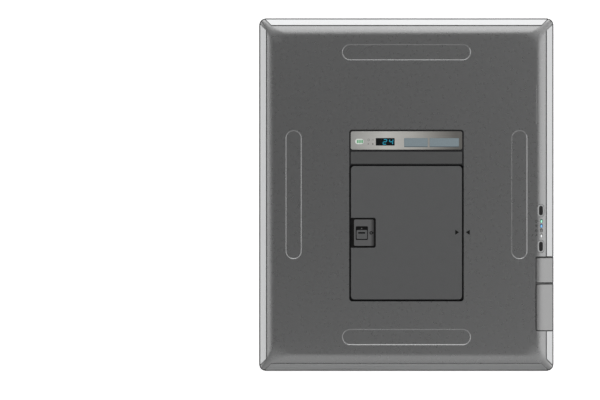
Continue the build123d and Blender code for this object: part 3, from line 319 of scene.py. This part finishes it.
def brushed_plate(name, painted_highlight_stops, start, end, roughness):
    """Brushed silver with a painted highlight and painted shade along X, given as pairs of a place and
    a colour.
    """
    material, tree, shader = new_material(name, painted_highlight_stops[0][1], roughness, 0.35)
    if tree:
        streak = 0.12
        lines = noise(tree, object_coordinates(tree, (25, 1600, 1600)), 1.0, 4.0, 0.6)
        mixed = tree.nodes.new("ShaderNodeMath")
        mixed.operation = "MULTIPLY_ADD"
        mixed.inputs[1].default_value = streak
        tree.links.new(lines, mixed.inputs[0])
        tree.links.new(along_x(tree, start, end, clamp=False), mixed.inputs[2])
        ramp = tree.nodes.new("ShaderNodeValToRGB")
        stops = ramp.color_ramp.elements
        while len(stops) < len(painted_highlight_stops):
            stops.new(1.0)
        for stop, (place, colour) in zip(stops, painted_highlight_stops):
            stop.position = place
            stop.color = (*colour, 1.0)
        tree.links.new(mixed.outputs["Value"], ramp.inputs["Fac"])
        tree.links.new(ramp.outputs["Color"], shader.inputs["Base Color"])
        bump(tree, shader, lines, 0.08, 0.0001)
    return material


def lit(name, colour, strength):
    """A lit surface: light pipe, lamp bar or digit."""
    unlit = [value * 0.5 for value in colour]
    material, tree, shader = new_material(name, unlit, 0.35)
    if tree:
        shader.inputs["Emission Color"].default_value = (*colour, 1.0)
        shader.inputs["Emission Strength"].default_value = strength
        tint(tree, shader, unlit, noise(tree, object_coordinates(tree), 500.0), 0.08)
    return material


def woven_carbon(name, colour):
    """Twill weave under a satin coat."""
    material, tree, shader = new_material(name, colour, 0.36)
    if tree:
        shader.inputs["Coat Weight"].default_value = 0.4
        shader.inputs["Coat Roughness"].default_value = 0.25
        vector = object_coordinates(tree, turn=(0, 0, math.radians(45)))
        waves = []
        for direction in ("X", "Y"):
            wave = tree.nodes.new("ShaderNodeTexWave")
            wave.bands_direction = direction
            wave.inputs["Scale"].default_value = 70.0
            tree.links.new(vector, wave.inputs["Vector"])
            waves.append(wave.outputs["Fac"])
        weave = tree.nodes.new("ShaderNodeMath")
        weave.operation = "MULTIPLY"
        tree.links.new(waves[0], weave.inputs[0])
        tree.links.new(waves[1], weave.inputs[1])
        ramp = tint(tree, shader, colour, weave.outputs["Value"], 0.35)
        ramp.color_ramp.elements[0].position = 0.0
        ramp.color_ramp.elements[1].position = 1.0
        bump(tree, shader, weave.outputs["Value"], 0.15, 0.0002)
    return material


def shell_coat():
    return coated_metal("shell coat", colours().shell, colours().shell_roughness)


def gauge_green():
    return lit("gauge green", (0.12, 0.42, 0.2), 0.3)


def mark_ink_and_painted_shade():
    return moulded("mark ink and painted shade", (0.006, 0.006, 0.006), 0.6, depth=0.03, specular=0.05)


# Meshes


def add_piece(name, bm, body, material):
    """Turn a bmesh into a piece that rides on a body."""
    bmesh.ops.remove_doubles(bm, verts=bm.verts, dist=1e-7)
    bmesh.ops.recalc_face_normals(bm, faces=bm.faces)
    mesh = bpy.data.meshes.new(name)
    bm.to_mesh(mesh)
    bm.free()
    piece = bpy.data.objects.new(name, mesh)
    bpy.context.scene.collection.objects.link(piece)
    mesh.materials.append(material)
    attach(piece, body)


def bar(bm, x0, y0, x1, y1, z0, z1):
    """A level bar between two corners, added to a bmesh."""
    made = bmesh.ops.create_cube(bm, size=1.0)["verts"]
    bmesh.ops.scale(bm, verts=made, vec=(abs(x1 - x0), abs(y1 - y0), z1 - z0))
    bmesh.ops.translate(bm, verts=made, vec=((x0 + x1) / 2, (y0 + y1) / 2, (z0 + z1) / 2))
    return made


def plate(bm, corners, z0, z1):
    """A level plate with a drawn outline, added to a bmesh."""
    face = bm.faces.new([bm.verts.new((x, y, z0)) for x, y in corners])
    raised = bmesh.ops.extrude_face_region(bm, geom=[face])["geom"]
    up = [item for item in raised if isinstance(item, bmesh.types.BMVert)]
    bmesh.ops.translate(bm, verts=up, vec=(0, 0, z1 - z0))
    return up


def disc(bm, x, y, radius, z0, z1, segments=24):
    """A level disc, added to a bmesh."""
    made = bmesh.ops.create_cone(
        bm, cap_ends=True, segments=segments, radius1=radius, radius2=radius, depth=z1 - z0)
    bmesh.ops.translate(bm, verts=made["verts"], vec=(x, y, (z0 + z1) / 2))


def ring(bm, x, y, radius, width, z0, z1, segments=32):
    """A level ring with a square section, added to a bmesh."""
    corners = [(radius - width / 2, 0, z0), (radius + width / 2, 0, z0),
               (radius + width / 2, 0, z1), (radius - width / 2, 0, z1)]
    verts = [bm.verts.new(corner) for corner in corners]
    edges = [bm.edges.new((verts[i], verts[(i + 1) % 4])) for i in range(4)]
    before = set(bm.verts) - set(verts)
    bmesh.ops.spin(bm, geom=verts + edges, cent=(0, 0, 0), axis=(0, 0, 1), angle=math.tau,
                   steps=segments, use_merge=True)
    bmesh.ops.translate(bm, verts=[v for v in bm.verts if v not in before], vec=(x, y, 0))


def arrow(bm, x, y, width, height, turn, z0, z1):
    """A level triangle centred on a place; it points right, turned by an angle."""
    up = plate(bm, [(-width / 2, -height / 2), (width / 2, 0), (-width / 2, height / 2)], z0, z1)
    made = {v for vert in up for edge in vert.link_edges for v in edge.verts}
    bmesh.ops.rotate(bm, verts=list(made), cent=(0, 0, 0), matrix=Matrix.Rotation(turn, 3, "Z"))
    bmesh.ops.translate(bm, verts=list(made), vec=(x, y, 0))


def segment_digit(bm, shown, left, low, z0, z1):
    """One seven segment digit, leaning to the right; shown names its lit bars."""
    width, height, bar_width = (sizes().digit_width, sizes().digit_height, sizes().segment_width)
    gap = bar_width * 0.12
    half = bar_width / 2
    middle = height / 2
    ends = {
        "top": ((half, height - half), (width - half, height - half)),
        "middle": ((half, middle), (width - half, middle)),
        "bottom": ((half, half), (width - half, half)),
        "top left": ((half, middle), (half, height - half)),
        "top right": ((width - half, middle), (width - half, height - half)),
        "bottom left": ((half, half), (half, middle)),
        "bottom right": ((width - half, half), (width - half, middle)),
    }
    for name in shown:
        (x0, y0), (x1, y1) = ends[name]
        if y0 == y1:
            x0, x1 = x0 + gap, x1 - gap
            corners = [(x0, y0), (x0 + half, y0 - half), (x1 - half, y0 - half), (x1, y0),
                       (x1 - half, y0 + half), (x0 + half, y0 + half)]
        else:
            y0, y1 = y0 + gap, y1 - gap
            corners = [(x0, y0), (x0 + half, y0 + half), (x0 + half, y1 - half), (x0, y1),
                       (x0 - half, y1 - half), (x0 - half, y0 + half)]
        plate(bm, [(left + x + sizes().digit_lean * y / height, low + y) for x, y in corners],
              z0, z1)


def joined(name):
    """A frame piece, shaded smoothly and with its loose triangles joined by a modifier."""
    piece = nodes[name]
    for polygon in piece.data.polygons:
        polygon.use_smooth = True
    weld = piece.modifiers.new("Join faces", "WELD")
    weld.merge_threshold = 1e-6
    return piece


def weigh_normals(piece):
    """Let a frame piece's large flat faces stay flat in its shading."""
    weighted = piece.modifiers.new("Weigh normals", "WEIGHTED_NORMAL")
    weighted.mode = "FACE_AREA"
    weighted.weight = 90
    weighted.keep_sharp = True


def soften(name, width, angle=25):
    """Round a frame piece's edges where its faces meet at more than an angle."""
    piece = joined(name)
    bevel = piece.modifiers.new("Round edges", "BEVEL")
    bevel.width = width
    bevel.segments = 2
    bevel.limit_method = "ANGLE"
    bevel.angle_limit = math.radians(angle)
    weigh_normals(piece)


def sharp_by_angle(angle):
    """A node group that keeps an edge sharp where its faces meet at more than an angle."""
    name = "keep sharp over %d" % angle
    if name in bpy.data.node_groups:
        return bpy.data.node_groups[name]
    group = bpy.data.node_groups.new(name, "GeometryNodeTree")
    for direction in ("INPUT", "OUTPUT"):
        group.interface.new_socket("Geometry", in_out=direction,
                                   socket_type="NodeSocketGeometry")
    entry = group.nodes.new("NodeGroupInput")
    end = group.nodes.new("NodeGroupOutput")
    between = group.nodes.new("GeometryNodeInputMeshEdgeAngle")
    shallow = group.nodes.new("FunctionNodeCompare")
    shallow.operation = "LESS_THAN"
    shallow.inputs[1].default_value = math.radians(angle)
    shade = group.nodes.new("GeometryNodeSetShadeSmooth")
    shade.domain = "EDGE"
    group.links.new(between.outputs["Unsigned Angle"], shallow.inputs[0])
    group.links.new(entry.outputs[0], shade.inputs["Geometry"])
    group.links.new(shallow.outputs["Result"], shade.inputs["Shade Smooth"])
    group.links.new(shade.outputs["Geometry"], end.inputs[0])
    return group


def even_out(name, angle=24):
    """Shade a frame piece's curved faces smoothly; its large flat faces stay flat."""
    piece = joined(name)
    edges = piece.modifiers.new("Keep edges", "NODES")
    edges.node_group = sharp_by_angle(angle)
    weigh_normals(piece)


def dress(name, material):
    """Give a frame piece its material."""
    mesh = nodes[name].data
    mesh.materials.clear()
    mesh.materials.append(material)


def dress_sides_painted_shade(name, material, reach):
    """Give a second, darker material to a frame piece's sides, up to a distance from the outline:
    painted shade on its steep outer faces.
    """
    mesh = nodes[name].data
    mesh.materials.append(material)
    low, high = cad_bounds
    for polygon in mesh.polygons:
        x, y, z = polygon.center
        margin = min(x - low[0], high[0] - x, y - low[1], high[1] - y)
        if polygon.normal.z < painted_shade_slope and margin < reach:
            polygon.material_index = 1


def top_of(name):
    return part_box(name)[1][2]


def mark(name, body, material, shape, height):
    """A thin mark, half sunk in a level face: print, a lit bar or painted shade; shape draws it
    between two heights.
    """
    bm = bmesh.new()
    shape(bm, height - sizes().mark_lift, height + sizes().mark_lift)
    add_piece(name, bm, body, material)


# Operators


class DETECTOR_OT_housing(Operator):
    """Finish the shell, the frame, the imaging face and the trims."""

    bl_idname = "detector.housing"
    bl_label = "Housing"

    def execute(self, context):
        shell_shade_reach, trim_shade_reach = millimetres(4.0, 1.6)
        dress("rear_shell", shell_coat())
        # The shell's steep outer faces near the outline get the dark copy of its coat: painted shade.
        dress_sides_painted_shade("rear_shell", coated_metal("shell side painted shade", colours().shell_side_painted_shade, 0.45),
                    shell_shade_reach)
        even_out("rear_shell")
        dress("front_frame", coated_metal("frame coat", (0.2, 0.2, 0.2), 0.38))
        dress("front_panel", woven_carbon("carbon weave", (0.03, 0.031, 0.033)))
        dress("housing_seal", moulded("seal rubber", (0.02, 0.02, 0.02), 0.8))
        # A dark copy of the trims' colour for their steep outer faces: painted shade.
        sides = coated_metal("trim side painted shade", colours().trim_side_painted_shade, 0.5)
        for name, along in (
            ("edge_trim_top", "X"), ("edge_trim_bottom", "X"), ("edge_trim_left", "Y"),
            ("edge_trim_right_upper", "Y"), ("edge_trim_right_lower", "Y"),
        ):
            dress(name, drawn_metal("trim along " + along, colours().trim,
                                    colours().trim_roughness, along))
            dress_sides_painted_shade(name, sides, trim_shade_reach)
            soften(name, sizes().edge_round)
        dress("housing_screws", drawn_metal("screw steel", (0.5, 0.5, 0.5), 0.3, "Y"))
        self.alignment_lines()
        self.groove_bridge()
        return {"FINISHED"}

    def alignment_lines(self):
        """Fine lines on the imaging face: the imaging area's corners and its middle."""
        low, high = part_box("front_panel")
        inset, reach, line = millimetres(7.0, 24.0, 0.5)
        x1, y1 = high[0] - inset, high[1] - inset

        def lines(bm, z0, z1):
            for sx in (1, -1):
                for sy in (1, -1):
                    bar(bm, sx * x1, sy * y1, sx * (x1 - reach), sy * (y1 - line), z0, z1)
                    bar(bm, sx * x1, sy * y1, sx * (x1 - line), sy * (y1 - reach), z0, z1)
                bar(bm, sx * x1, -line / 2, sx * (x1 - reach), line / 2, z0, z1)
                bar(bm, -line / 2, sx * y1, line / 2, sx * (y1 - reach), z0, z1)

        grey = moulded("line grey", (0.42, 0.43, 0.43), 0.5, grain=700.0, depth=0.02)
        mark("alignment_lines", "housing", grey, lines, low[2])

    def groove_bridge(self):
        """The small link across the groove beside the left trim."""
        x, y = millimetres(-182.3, -128.9)
        half, top = millimetres(0.65, 12.6)
        bm = bmesh.new()
        made = bar(bm, x - half, y - half, x + half, y + half, top - 3 * half, top)
        edges = {edge for vert in made for edge in vert.link_edges}
        bmesh.ops.bevel(bm, geom=list(edges), offset=half * 0.3, affect="EDGES", segments=2,
                        profile=0.5, material=-1)
        add_piece("groove_bridge", bm, "housing", shell_coat())


class DETECTOR_OT_inside(Operator):
    """Finish the pieces that are sealed inside."""

    bl_idname = "detector.inside"
    bl_label = "Inside"

    def execute(self, context):
        foam = moulded("foam", (0.2, 0.2, 0.21), 0.95, grain=2500.0, depth=0.6)
        board = moulded("board mask", (0.02, 0.16, 0.07), 0.35, grain=600.0, depth=0.05)
        chip = moulded("chip black", (0.02, 0.02, 0.02), 0.5)
        film = moulded("polyimide", (0.5, 0.26, 0.05), 0.3, grain=300.0, depth=0.03)
        gold = drawn_metal("gold plate", (0.75, 0.55, 0.25), 0.25, "Y")
        alloy = drawn_metal("machined alloy", (0.55, 0.55, 0.56), 0.35, "Y")
        tin = drawn_metal("tinned sheet", (0.6, 0.6, 0.6), 0.28, "X")
        glass = moulded("sensor glass", (0.16, 0.12, 0.2), 0.12, grain=200.0, depth=0.01)
        white = moulded("scintillator white", (0.8, 0.81, 0.77), 0.7)
        lead = drawn_metal("rolled lead", (0.25, 0.25, 0.27), 0.5, "X")
        bay = moulded("bay plastic", (0.016, 0.016, 0.017), 0.6, specular=0.2)
        wear = {
            foam: ("panel_cushion", "stack_cushion"),
            board: ("gate_driver_board", "readout_board", "main_board", "power_board",
                    "wireless_module", "antennas", "display_board", "switch_board",
                    "protection_board"),
            chip: ("main_board_chips", "seven_segment_display"),
            film: ("gate_flex", "readout_flex"),
            gold: ("battery_contacts", "battery_terminal_pads", "socket_pins"),
            alloy: ("base_plate", "flap_bracket"),
            tin: ("board_shield_can", "flap_hinge_pin"),
            glass: ("sensor_panel",),
            white: ("scintillator",),
            lead: ("xray_shield",),
            bay: ("battery_bay", "cable_socket"),
        }
        for material, names in wear.items():
            for name in names:
                dress(name, material)
        dress("battery_cells", moulded("cell foil", (0.3, 0.3, 0.32), 0.3, grain=300.0, depth=0.2))
        return {"FINISHED"}


class DETECTOR_OT_display(Operator):
    """Finish the display plate with its painted highlight, and add its digits, lamp bars, marks and
    painted shadow lines.
    """

    bl_idname = "detector.display"
    bl_label = "Display"

    def execute(self, context):
        low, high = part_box("display_bezel")
        # Painted highlight and shade: the lighter stops paint a reflection of the light across the
        # plate, and the darker ones shade it towards its right end.
        painted_highlight_stops = ((0.06, (0.345, 0.345, 0.332)), (0.38, (0.56, 0.552, 0.526)),
                  (0.62, (0.435, 0.426, 0.40)), (0.84, (0.243, 0.236, 0.22)),
                  (1.0, (0.133, 0.129, 0.12)))
        dress("display_bezel", brushed_plate("display plate", painted_highlight_stops, low[0], high[0], 0.34))
        even_out("display_bezel")
        dress("display_window", moulded("window black", (0.006, 0.007, 0.008), 0.12,
                                        grain=200.0, depth=0.0, specular=0.22))
        dress("battery_window", moulded("gauge white", (0.62, 0.66, 0.62), 0.25,
                                        grain=400.0, depth=0.01))
        label = moulded("label grey", (0.172, 0.215, 0.235), 0.5, grain=700.0, depth=0.03)
        dress("memo_label_left", label)
        dress("memo_label_right", label)
        dress("battery_level_leds", gauge_green())
        dress("bay_cover_strip", moulded("strip plastic", colours().strip, 0.42))
        soften("bay_cover_strip", sizes().cover_round * 0.6)
        self.digits()
        self.gauge()
        self.plate_marks()
        return {"FINISHED"}

    def digits(self):
        """The lit number: 24, in two seven segment digits."""
        low_y, first, second = millimetres(65.1, -31.2, -23.1)

        def number(bm, z0, z1):
            segment_digit(bm, ("top", "top right", "middle", "bottom left", "bottom"),
                          first, low_y, z0, z1)
            segment_digit(bm, ("top left", "top right", "middle", "bottom right"),
                          second, low_y, z0, z1)

        blue = lit("digit blue", (0.012, 0.31, 0.45), 0.5)
        mark("display_digits", "housing", blue, number, top_of("display_window"))

    def gauge(self):
        """Three lit bars that show through the battery gauge."""
        left, right, low_y, high_y, width = millimetres(-64.4, -56.8, 67.2, 71.2, 2.0)
        step = (right - left - width) / 2

        def bars(bm, z0, z1):
            for index in range(3):
                x = left + index * step
                bar(bm, x, low_y, x + width, high_y, z0, z1)

        mark("gauge_bars", "housing", gauge_green(), bars,
             top_of("battery_window"))

    def plate_marks(self):
        """Four small printed signs, and a line of painted shadow under each bare label."""
        left, right, upper, lower, small = millimetres(-49.3, -43.9, 71.3, 66.0, 1.25)
        line = 0.8 * millimetre

        def signs(bm, z0, z1):
            ring(bm, left, upper, small, small * 0.4, z0, z1)
            bar(bm, right - small, upper - small * 0.25, right + small, upper + small * 0.25,
                z0, z1)
            arrow(bm, left, lower, small * 1.8, small * 1.8, 0, z0, z1)
            disc(bm, right, lower, small * 0.8, z0, z1)

        grey = moulded("sign grey", (0.15, 0.15, 0.146), 0.5)
        mark("plate_signs", "housing", grey, signs, top_of("display_bezel"))

        # The dark line paints the shadow under each label's lower edge.
        def lines(bm, z0, z1):
            for side in ("left", "right"):
                low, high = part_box("memo_label_" + side)
                bar(bm, low[0], low[1] - line, high[0], low[1], z0, z1)

        dark = moulded("painted shadow dark", (0.05, 0.07, 0.085), 0.5)
        mark("painted_label_shadows", "housing", dark, lines, top_of("display_bezel"))


class DETECTOR_OT_pack(Operator):
    """Finish the battery pack, its latch and the lock slider."""

    bl_idname = "detector.pack"
    bl_label = "Battery pack"

    def execute(self, context):
        dress("battery_cover", moulded("pack plastic", colours().pack, 0.42))
        dress("battery_case", moulded("case plastic", (0.005, 0.005, 0.005), 0.6, specular=0.12))
        dress("latch_bolt", moulded("bolt plastic", (0.005, 0.005, 0.005), 0.6, specular=0.12))
        dress("latch_plate", self.latch_plastic_painted_shade())
        dress("lock_slider", moulded("lock plastic", (0.073, 0.074, 0.075), 0.42))
        for name in ("latch_plate", "lock_slider", "battery_cover"):
            soften(name, sizes().cover_round)
        self.arrows()
        self.latch_marks()
        return {"FINISHED"}

    def latch_plastic_painted_shade(self):
        """Plastic with painted shade: it gets darker over the latch's finger ramp, where the notch's
        wall shades it.
        """
        low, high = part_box("latch_plate")
        # The darker colour paints the shade that falls on the ramp beside the notch's wall.
        left, right = (0.091, 0.091, 0.092), (0.016, 0.016, 0.016)
        before, after = millimetres(5.2, 0.8)
        material, tree, shader = new_material("latch plastic", left, 0.42, specular=0.2)
        if tree:
            ramp = tree.nodes.new("ShaderNodeValToRGB")
            ramp.color_ramp.elements[0].color = (*left, 1.0)
            ramp.color_ramp.elements[1].color = (*right, 1.0)
            tree.links.new(along_x(tree, high[0] - before, high[0] - after), ramp.inputs["Fac"])
            tree.links.new(ramp.outputs["Color"], shader.inputs["Base Color"])
            bump(tree, shader, noise(tree, object_coordinates(tree), 900.0, 3.0, 0.6), 0.08,
                 0.0002)
        return material

    def arrows(self):
        """Two arrows that meet at the side of the pack with the tongues."""
        on_pack, on_shell, y = millimetres(66.0, 79.8, -49.0)
        for name, body, x, turn, under in (
            ("pack_arrow", "battery_pack", on_pack, 0, "battery_cover"),
            ("shell_arrow", "housing", on_shell, math.pi, "rear_shell"),
        ):
            def shape(bm, z0, z1):
                arrow(bm, x, y, sizes().arrow_width, sizes().arrow_height, turn, z0, z1)

            mark(name, body, mark_ink_and_painted_shade(), shape, top_of(under))

    def latch_marks(self):
        """Marks of the lock and the latch, and a dark plate of painted shade in the groove of the
        slider's grip.
        """
        pale = moulded("mark grey", (0.11, 0.11, 0.11), 0.5, depth=0.03)
        dark = moulded("mark dark", (0.008, 0.008, 0.008), 0.6, depth=0.03, specular=0.05)
        up_x, up_y, up_width, up_height = millimetres(-58.3, -43.8, 1.785, 2.1)
        ring_x, ring_y, ring_radius, line = millimetres(-46.1, -49.8, 1.6, 1.25)
        tip_x, tip_width, tip_height = millimetres(-43.7, 2.9, 3.9)
        left, right, low, high, floor = millimetres(-62.8, -53.9, -50.8, -48.9, 14.0)
        ramp_width, ramp_drop = millimetres(4.2, 1.6)
        ramp_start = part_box("latch_plate")[1][0] - ramp_width

        def onto_ramp(bm):
            for vert in bm.verts:
                vert.co.z -= max(0.0, vert.co.x - ramp_start) * ramp_drop / ramp_width

        def lock_sign(bm, z0, z1):
            arrow(bm, up_x, up_y, up_width, up_height, math.pi / 2, z0, z1)

        mark("lock_sign", "battery_latch", pale, lock_sign, top_of("latch_bolt"))

        def latch_ring(bm, z0, z1):
            ring(bm, ring_x, ring_y, ring_radius, line, z0, z1)
            onto_ramp(bm)

        mark("latch_ring", "battery_latch", dark, latch_ring, top_of("latch_plate"))

        def latch_tip(bm, z0, z1):
            arrow(bm, tip_x, ring_y, tip_width, tip_height, 0, z0, z1 + (z1 - z0) / 2)
            onto_ramp(bm)

        mark("latch_tip", "battery_latch", mark_ink_and_painted_shade(), latch_tip,
             top_of("latch_plate"))

        # A near-black plate on the groove's floor paints the shade inside the slider's groove.
        def groove_shade(bm, z0, z1):
            bar(bm, left, low, right, high, z0, z1)

        mark("slider_groove_painted_shade", "lock_slider", mark_ink_and_painted_shade(), groove_shade, floor)


class DETECTOR_OT_controls(Operator):
    """Finish the buttons, the status lights, the flap and the fixed cover."""

    bl_idname = "detector.controls"
    bl_label = "Controls and flap"

    def execute(self, context):
        rubber = moulded("button rubber", (0.006, 0.006, 0.006), 0.42, specular=0.35)
        dress("power_button", rubber)
        dress("status_button", rubber)
        for index, name, colour in (
            (1, "lens green", (0.025, 0.12, 0.08)), (2, "lens blue", (0.05, 0.085, 0.22)),
            (3, "lens off", (0.06, 0.06, 0.058)), (4, "lens white", (0.13, 0.135, 0.13)),
        ):
            dress("status_lens_%d" % index,
                  moulded(name, colour, 0.4, grain=300.0, depth=0.0, specular=0.2))
        # The flap's and the cover's steep outer faces get a darker copy of their coat, a quarter as
        # bright: painted shade.
        flap_shade_reach = 1.6 * millimetre
        flap = coated_metal("flap coat", colours().flap, 0.30)
        side = coated_metal("flap side painted shade", [value * 0.25 for value in colours().flap], 0.5)
        for name in ("connector_flap", "antenna_cover"):
            dress(name, flap)
            dress_sides_painted_shade(name, side, flap_shade_reach)
            soften(name, sizes().cover_round)
        self.lamp_cores()
        self.status_signs()
        return {"FINISHED"}

    def lamp_cores(self):
        """The bright middle of each status light that is lit, and the dull one of the unlit."""
        half_width, half_length, below = millimetres(1.0, 1.75, 0.5)
        points = 24
        dull = moulded("core off", (0.22, 0.22, 0.215), 0.4, grain=300.0, depth=0.0, specular=0.2)
        for index, material, slot in (
            (1, lit("core green", (0.42, 0.95, 0.70), 0.6), "lens_green"),
            (2, lit("core blue", (0.22, 0.55, 0.90), 0.6), "lens_blue"),
            (3, dull, "lens_off"),
            (4, lit("core white", (0.85, 0.85, 0.85), 0.7), "lens_white"),
        ):
            name = "status_lens_%d" % index
            low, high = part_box(name)
            x, y = (low[0] + high[0]) / 2, (low[1] + high[1]) / 2 - below

            def core(bm, z0, z1):
                corners = []
                for point in range(points):
                    angle = math.tau * (point + 0.5) / points
                    side = math.copysign(half_length - half_width, math.sin(angle))
                    corners.append((x + half_width * math.cos(angle),
                                    y + side + half_width * math.sin(angle)))
                plate(bm, corners, z0, z1)

            mark("lamp_core_%d" % index, "housing", material, core, top_of(name))

    def status_signs(self):
        """Small faint signs beside the status lights, and the fine line above the buttons."""
        x, first, second, third, fourth = millimetres(169.0, -34.7, -40.4, -46.8, -52.9)
        small, apart, line, line_x, low, high = millimetres(1.4, 5.0, 0.3, 169.3, 91.8, 143.3)

        def signs(bm, z0, z1):
            ring(bm, x, first, small, small * 0.5, z0, z1)
            disc(bm, x, second, small, z0, z1)
            ring(bm, x, third, small * 0.8, small * 0.6, z0, z1)
            for place in (x, x - apart):
                plate(bm, [(place - small, fourth - small), (place - small * 0.2, fourth - small),
                           (place + small, fourth + small), (place + small * 0.2, fourth + small)],
                      z0, z1)

        top = top_of("rear_shell")
        dark = moulded("sign dark", (0.055, 0.056, 0.056), 0.5, specular=0.2)
        mark("status_signs", "housing", dark, signs, top)

        def fine_line(bm, z0, z1):
            bar(bm, line_x - line / 2, low, line_x + line / 2, high, z0, z1)

        pale = moulded("line pale", (0.30, 0.30, 0.30), 0.5)
        mark("fine_line", "housing", pale, fine_line, top - sizes().mark_lift / 2)


class DETECTOR_OT_stage(Operator):
    """Set the floor, the lights and the camera."""

    bl_idname = "detector.stage"
    bl_label = "Stage"

    def execute(self, context):
        self.floor()
        self.lights()
        self.camera()
        return {"FINISHED"}

    def floor(self):
        """A pale floor just under the imaging face."""
        below, glow = 0.2 * millimetre, 0.58
        bm = bmesh.new()
        bmesh.ops.create_grid(bm, x_segments=1, y_segments=1, size=sizes().floor_size / 2)
        bmesh.ops.translate(bm, verts=bm.verts, vec=(0, 0, -below))
        mesh = bpy.data.meshes.new("floor")
        bm.to_mesh(mesh)
        bm.free()
        floor = bpy.data.objects.new("floor", mesh)
        bpy.context.scene.collection.objects.link(floor)
        material = bpy.data.materials.new("floor white")
        material.use_nodes = True
        tree = material.node_tree
        shader = tree.nodes["Principled BSDF"]
        shader.inputs["Base Color"].default_value = (0.86, 0.86, 0.86, 1.0)
        shader.inputs["Roughness"].default_value = 0.9
        shader.inputs["Specular IOR Level"].default_value = 0.1
        paths = tree.nodes.new("ShaderNodeLightPath")
        seen = tree.nodes.new("ShaderNodeMath")
        seen.operation = "MAXIMUM"
        tree.links.new(paths.outputs["Is Camera Ray"], seen.inputs[0])
        tree.links.new(paths.outputs["Is Transmission Ray"], seen.inputs[1])
        shown = tree.nodes.new("ShaderNodeMath")
        shown.operation = "MAXIMUM"
        tree.links.new(seen.outputs["Value"], shown.inputs[0])
        tree.links.new(paths.outputs["Is Glossy Ray"], shown.inputs[1])
        level = tree.nodes.new("ShaderNodeMath")
        level.operation = "MULTIPLY"
        level.inputs[1].default_value = glow
        tree.links.new(shown.outputs["Value"], level.inputs[0])
        shader.inputs["Emission Color"].default_value = (1, 1, 1, 1)
        tree.links.new(level.outputs["Value"], shader.inputs["Emission Strength"])
        mesh.materials.append(material)

    def lights(self):
        """Softboxes round the object, all at one distance and aimed at its middle."""
        settings = stage_settings()
        world = bpy.data.worlds.new("studio")
        world.use_nodes = True
        background = world.node_tree.nodes["Background"]
        background.inputs["Color"].default_value = (1, 1, 1, 1)
        background.inputs["Strength"].default_value = settings.world_level
        bpy.context.scene.world = world
        distance, across, low_tall = 3.0, 2.3, 0.9
        slant = math.sqrt(0.5)
        lamps = [
            ("top softbox", 0, 1, 2.8, settings.top_level, settings.top_tilt),
            ("left softbox", -1, 0, 2.2, settings.left_level, settings.left_tilt),
            ("right softbox", 1, 0, 2.7, settings.right_level, settings.right_tilt),
            ("bottom softbox", 0, -1, 1.7, settings.bottom_level, settings.bottom_tilt),
        ]
        for name, x, y, share in (
            ("low softbox", 0, -1, 0.6),
            ("low left softbox", -slant, -slant, 0.7),
            ("low right softbox", slant, -slant, 0.7),
            ("far left softbox", -slant, slant, 1.0),
            ("far right softbox", slant, slant, 1.0),
        ):
            lamps.append((name, x, y, low_tall, settings.low_level * share, settings.low_tilt))
        for name, x, y, tall, level, tilt in lamps:
            data = bpy.data.lights.new(name, "AREA")
            data.shape = "RECTANGLE"
            data.size = across
            data.size_y = tall
            data.energy = level * math.pi * across * tall
            lamp = bpy.data.objects.new(name, data)
            place = Vector((x * math.sin(tilt), y * math.sin(tilt), math.cos(tilt))) * distance
            lamp.location = place
            side = Vector((-y, x, 0))
            facing = place.normalized()
            upward = facing.cross(side)
            lamp.rotation_euler = Matrix((side, upward, facing)).transposed().to_euler()
            bpy.context.scene.collection.objects.link(lamp)

    def camera(self):
        """A long lens straight above the back, as in the photograph."""
        settings = stage_settings()
        data = bpy.data.cameras.new("camera")
        data.lens = settings.lens
        data.sensor_width = 36.0
        data.clip_end = 50.0
        camera = bpy.data.objects.new("camera", data)
        away = settings.frame_width * settings.lens / data.sensor_width
        camera.location = (settings.camera_x, settings.camera_y, top_of("rear_shell") + away)
        bpy.context.scene.collection.objects.link(camera)
        bpy.context.scene.camera = camera
        bpy.context.scene.view_settings.view_transform = "Standard"


class DETECTOR_PT_panel(Panel):
    """Lists the operators and their settings."""

    bl_idname = "DETECTOR_PT_panel"
    bl_label = "Flat panel detector"
    bl_space_type = "VIEW_3D"
    bl_region_type = "UI"
    bl_category = "Detector"

    def draw(self, context):
        for operator in operators:
            self.layout.operator(operator.bl_idname)
        for group in (context.scene.detector_sizes, context.scene.detector_finish,
                      context.scene.detector_stage):
            for prop in group.bl_rna.properties:
                if prop.identifier not in ("rna_type", "name"):
                    self.layout.prop(group, prop.identifier)


settings_groups = (DetectorSizes, DetectorFinish, DetectorStage)
operators = (
    DETECTOR_OT_stage,
    DETECTOR_OT_housing,
    DETECTOR_OT_inside,
    DETECTOR_OT_display,
    DETECTOR_OT_pack,
    DETECTOR_OT_controls,
)


def register():
    for cls in settings_groups + operators + (DETECTOR_PT_panel,):
        bpy.utils.register_class(cls)
    bpy.types.Scene.detector_sizes = PointerProperty(type=DetectorSizes)
    bpy.types.Scene.detector_finish = PointerProperty(type=DetectorFinish)
    bpy.types.Scene.detector_stage = PointerProperty(type=DetectorStage)


def unregister():
    del bpy.types.Scene.detector_stage
    del bpy.types.Scene.detector_finish
    del bpy.types.Scene.detector_sizes
    for cls in reversed(settings_groups + operators + (DETECTOR_PT_panel,)):
        bpy.utils.unregister_class(cls)


def main():
    register()
    bpy.ops.detector.stage()
    bpy.ops.detector.housing()
    bpy.ops.detector.inside()
    bpy.ops.detector.display()
    bpy.ops.detector.pack()
    bpy.ops.detector.controls()


if __name__ == "__main__":
    main()
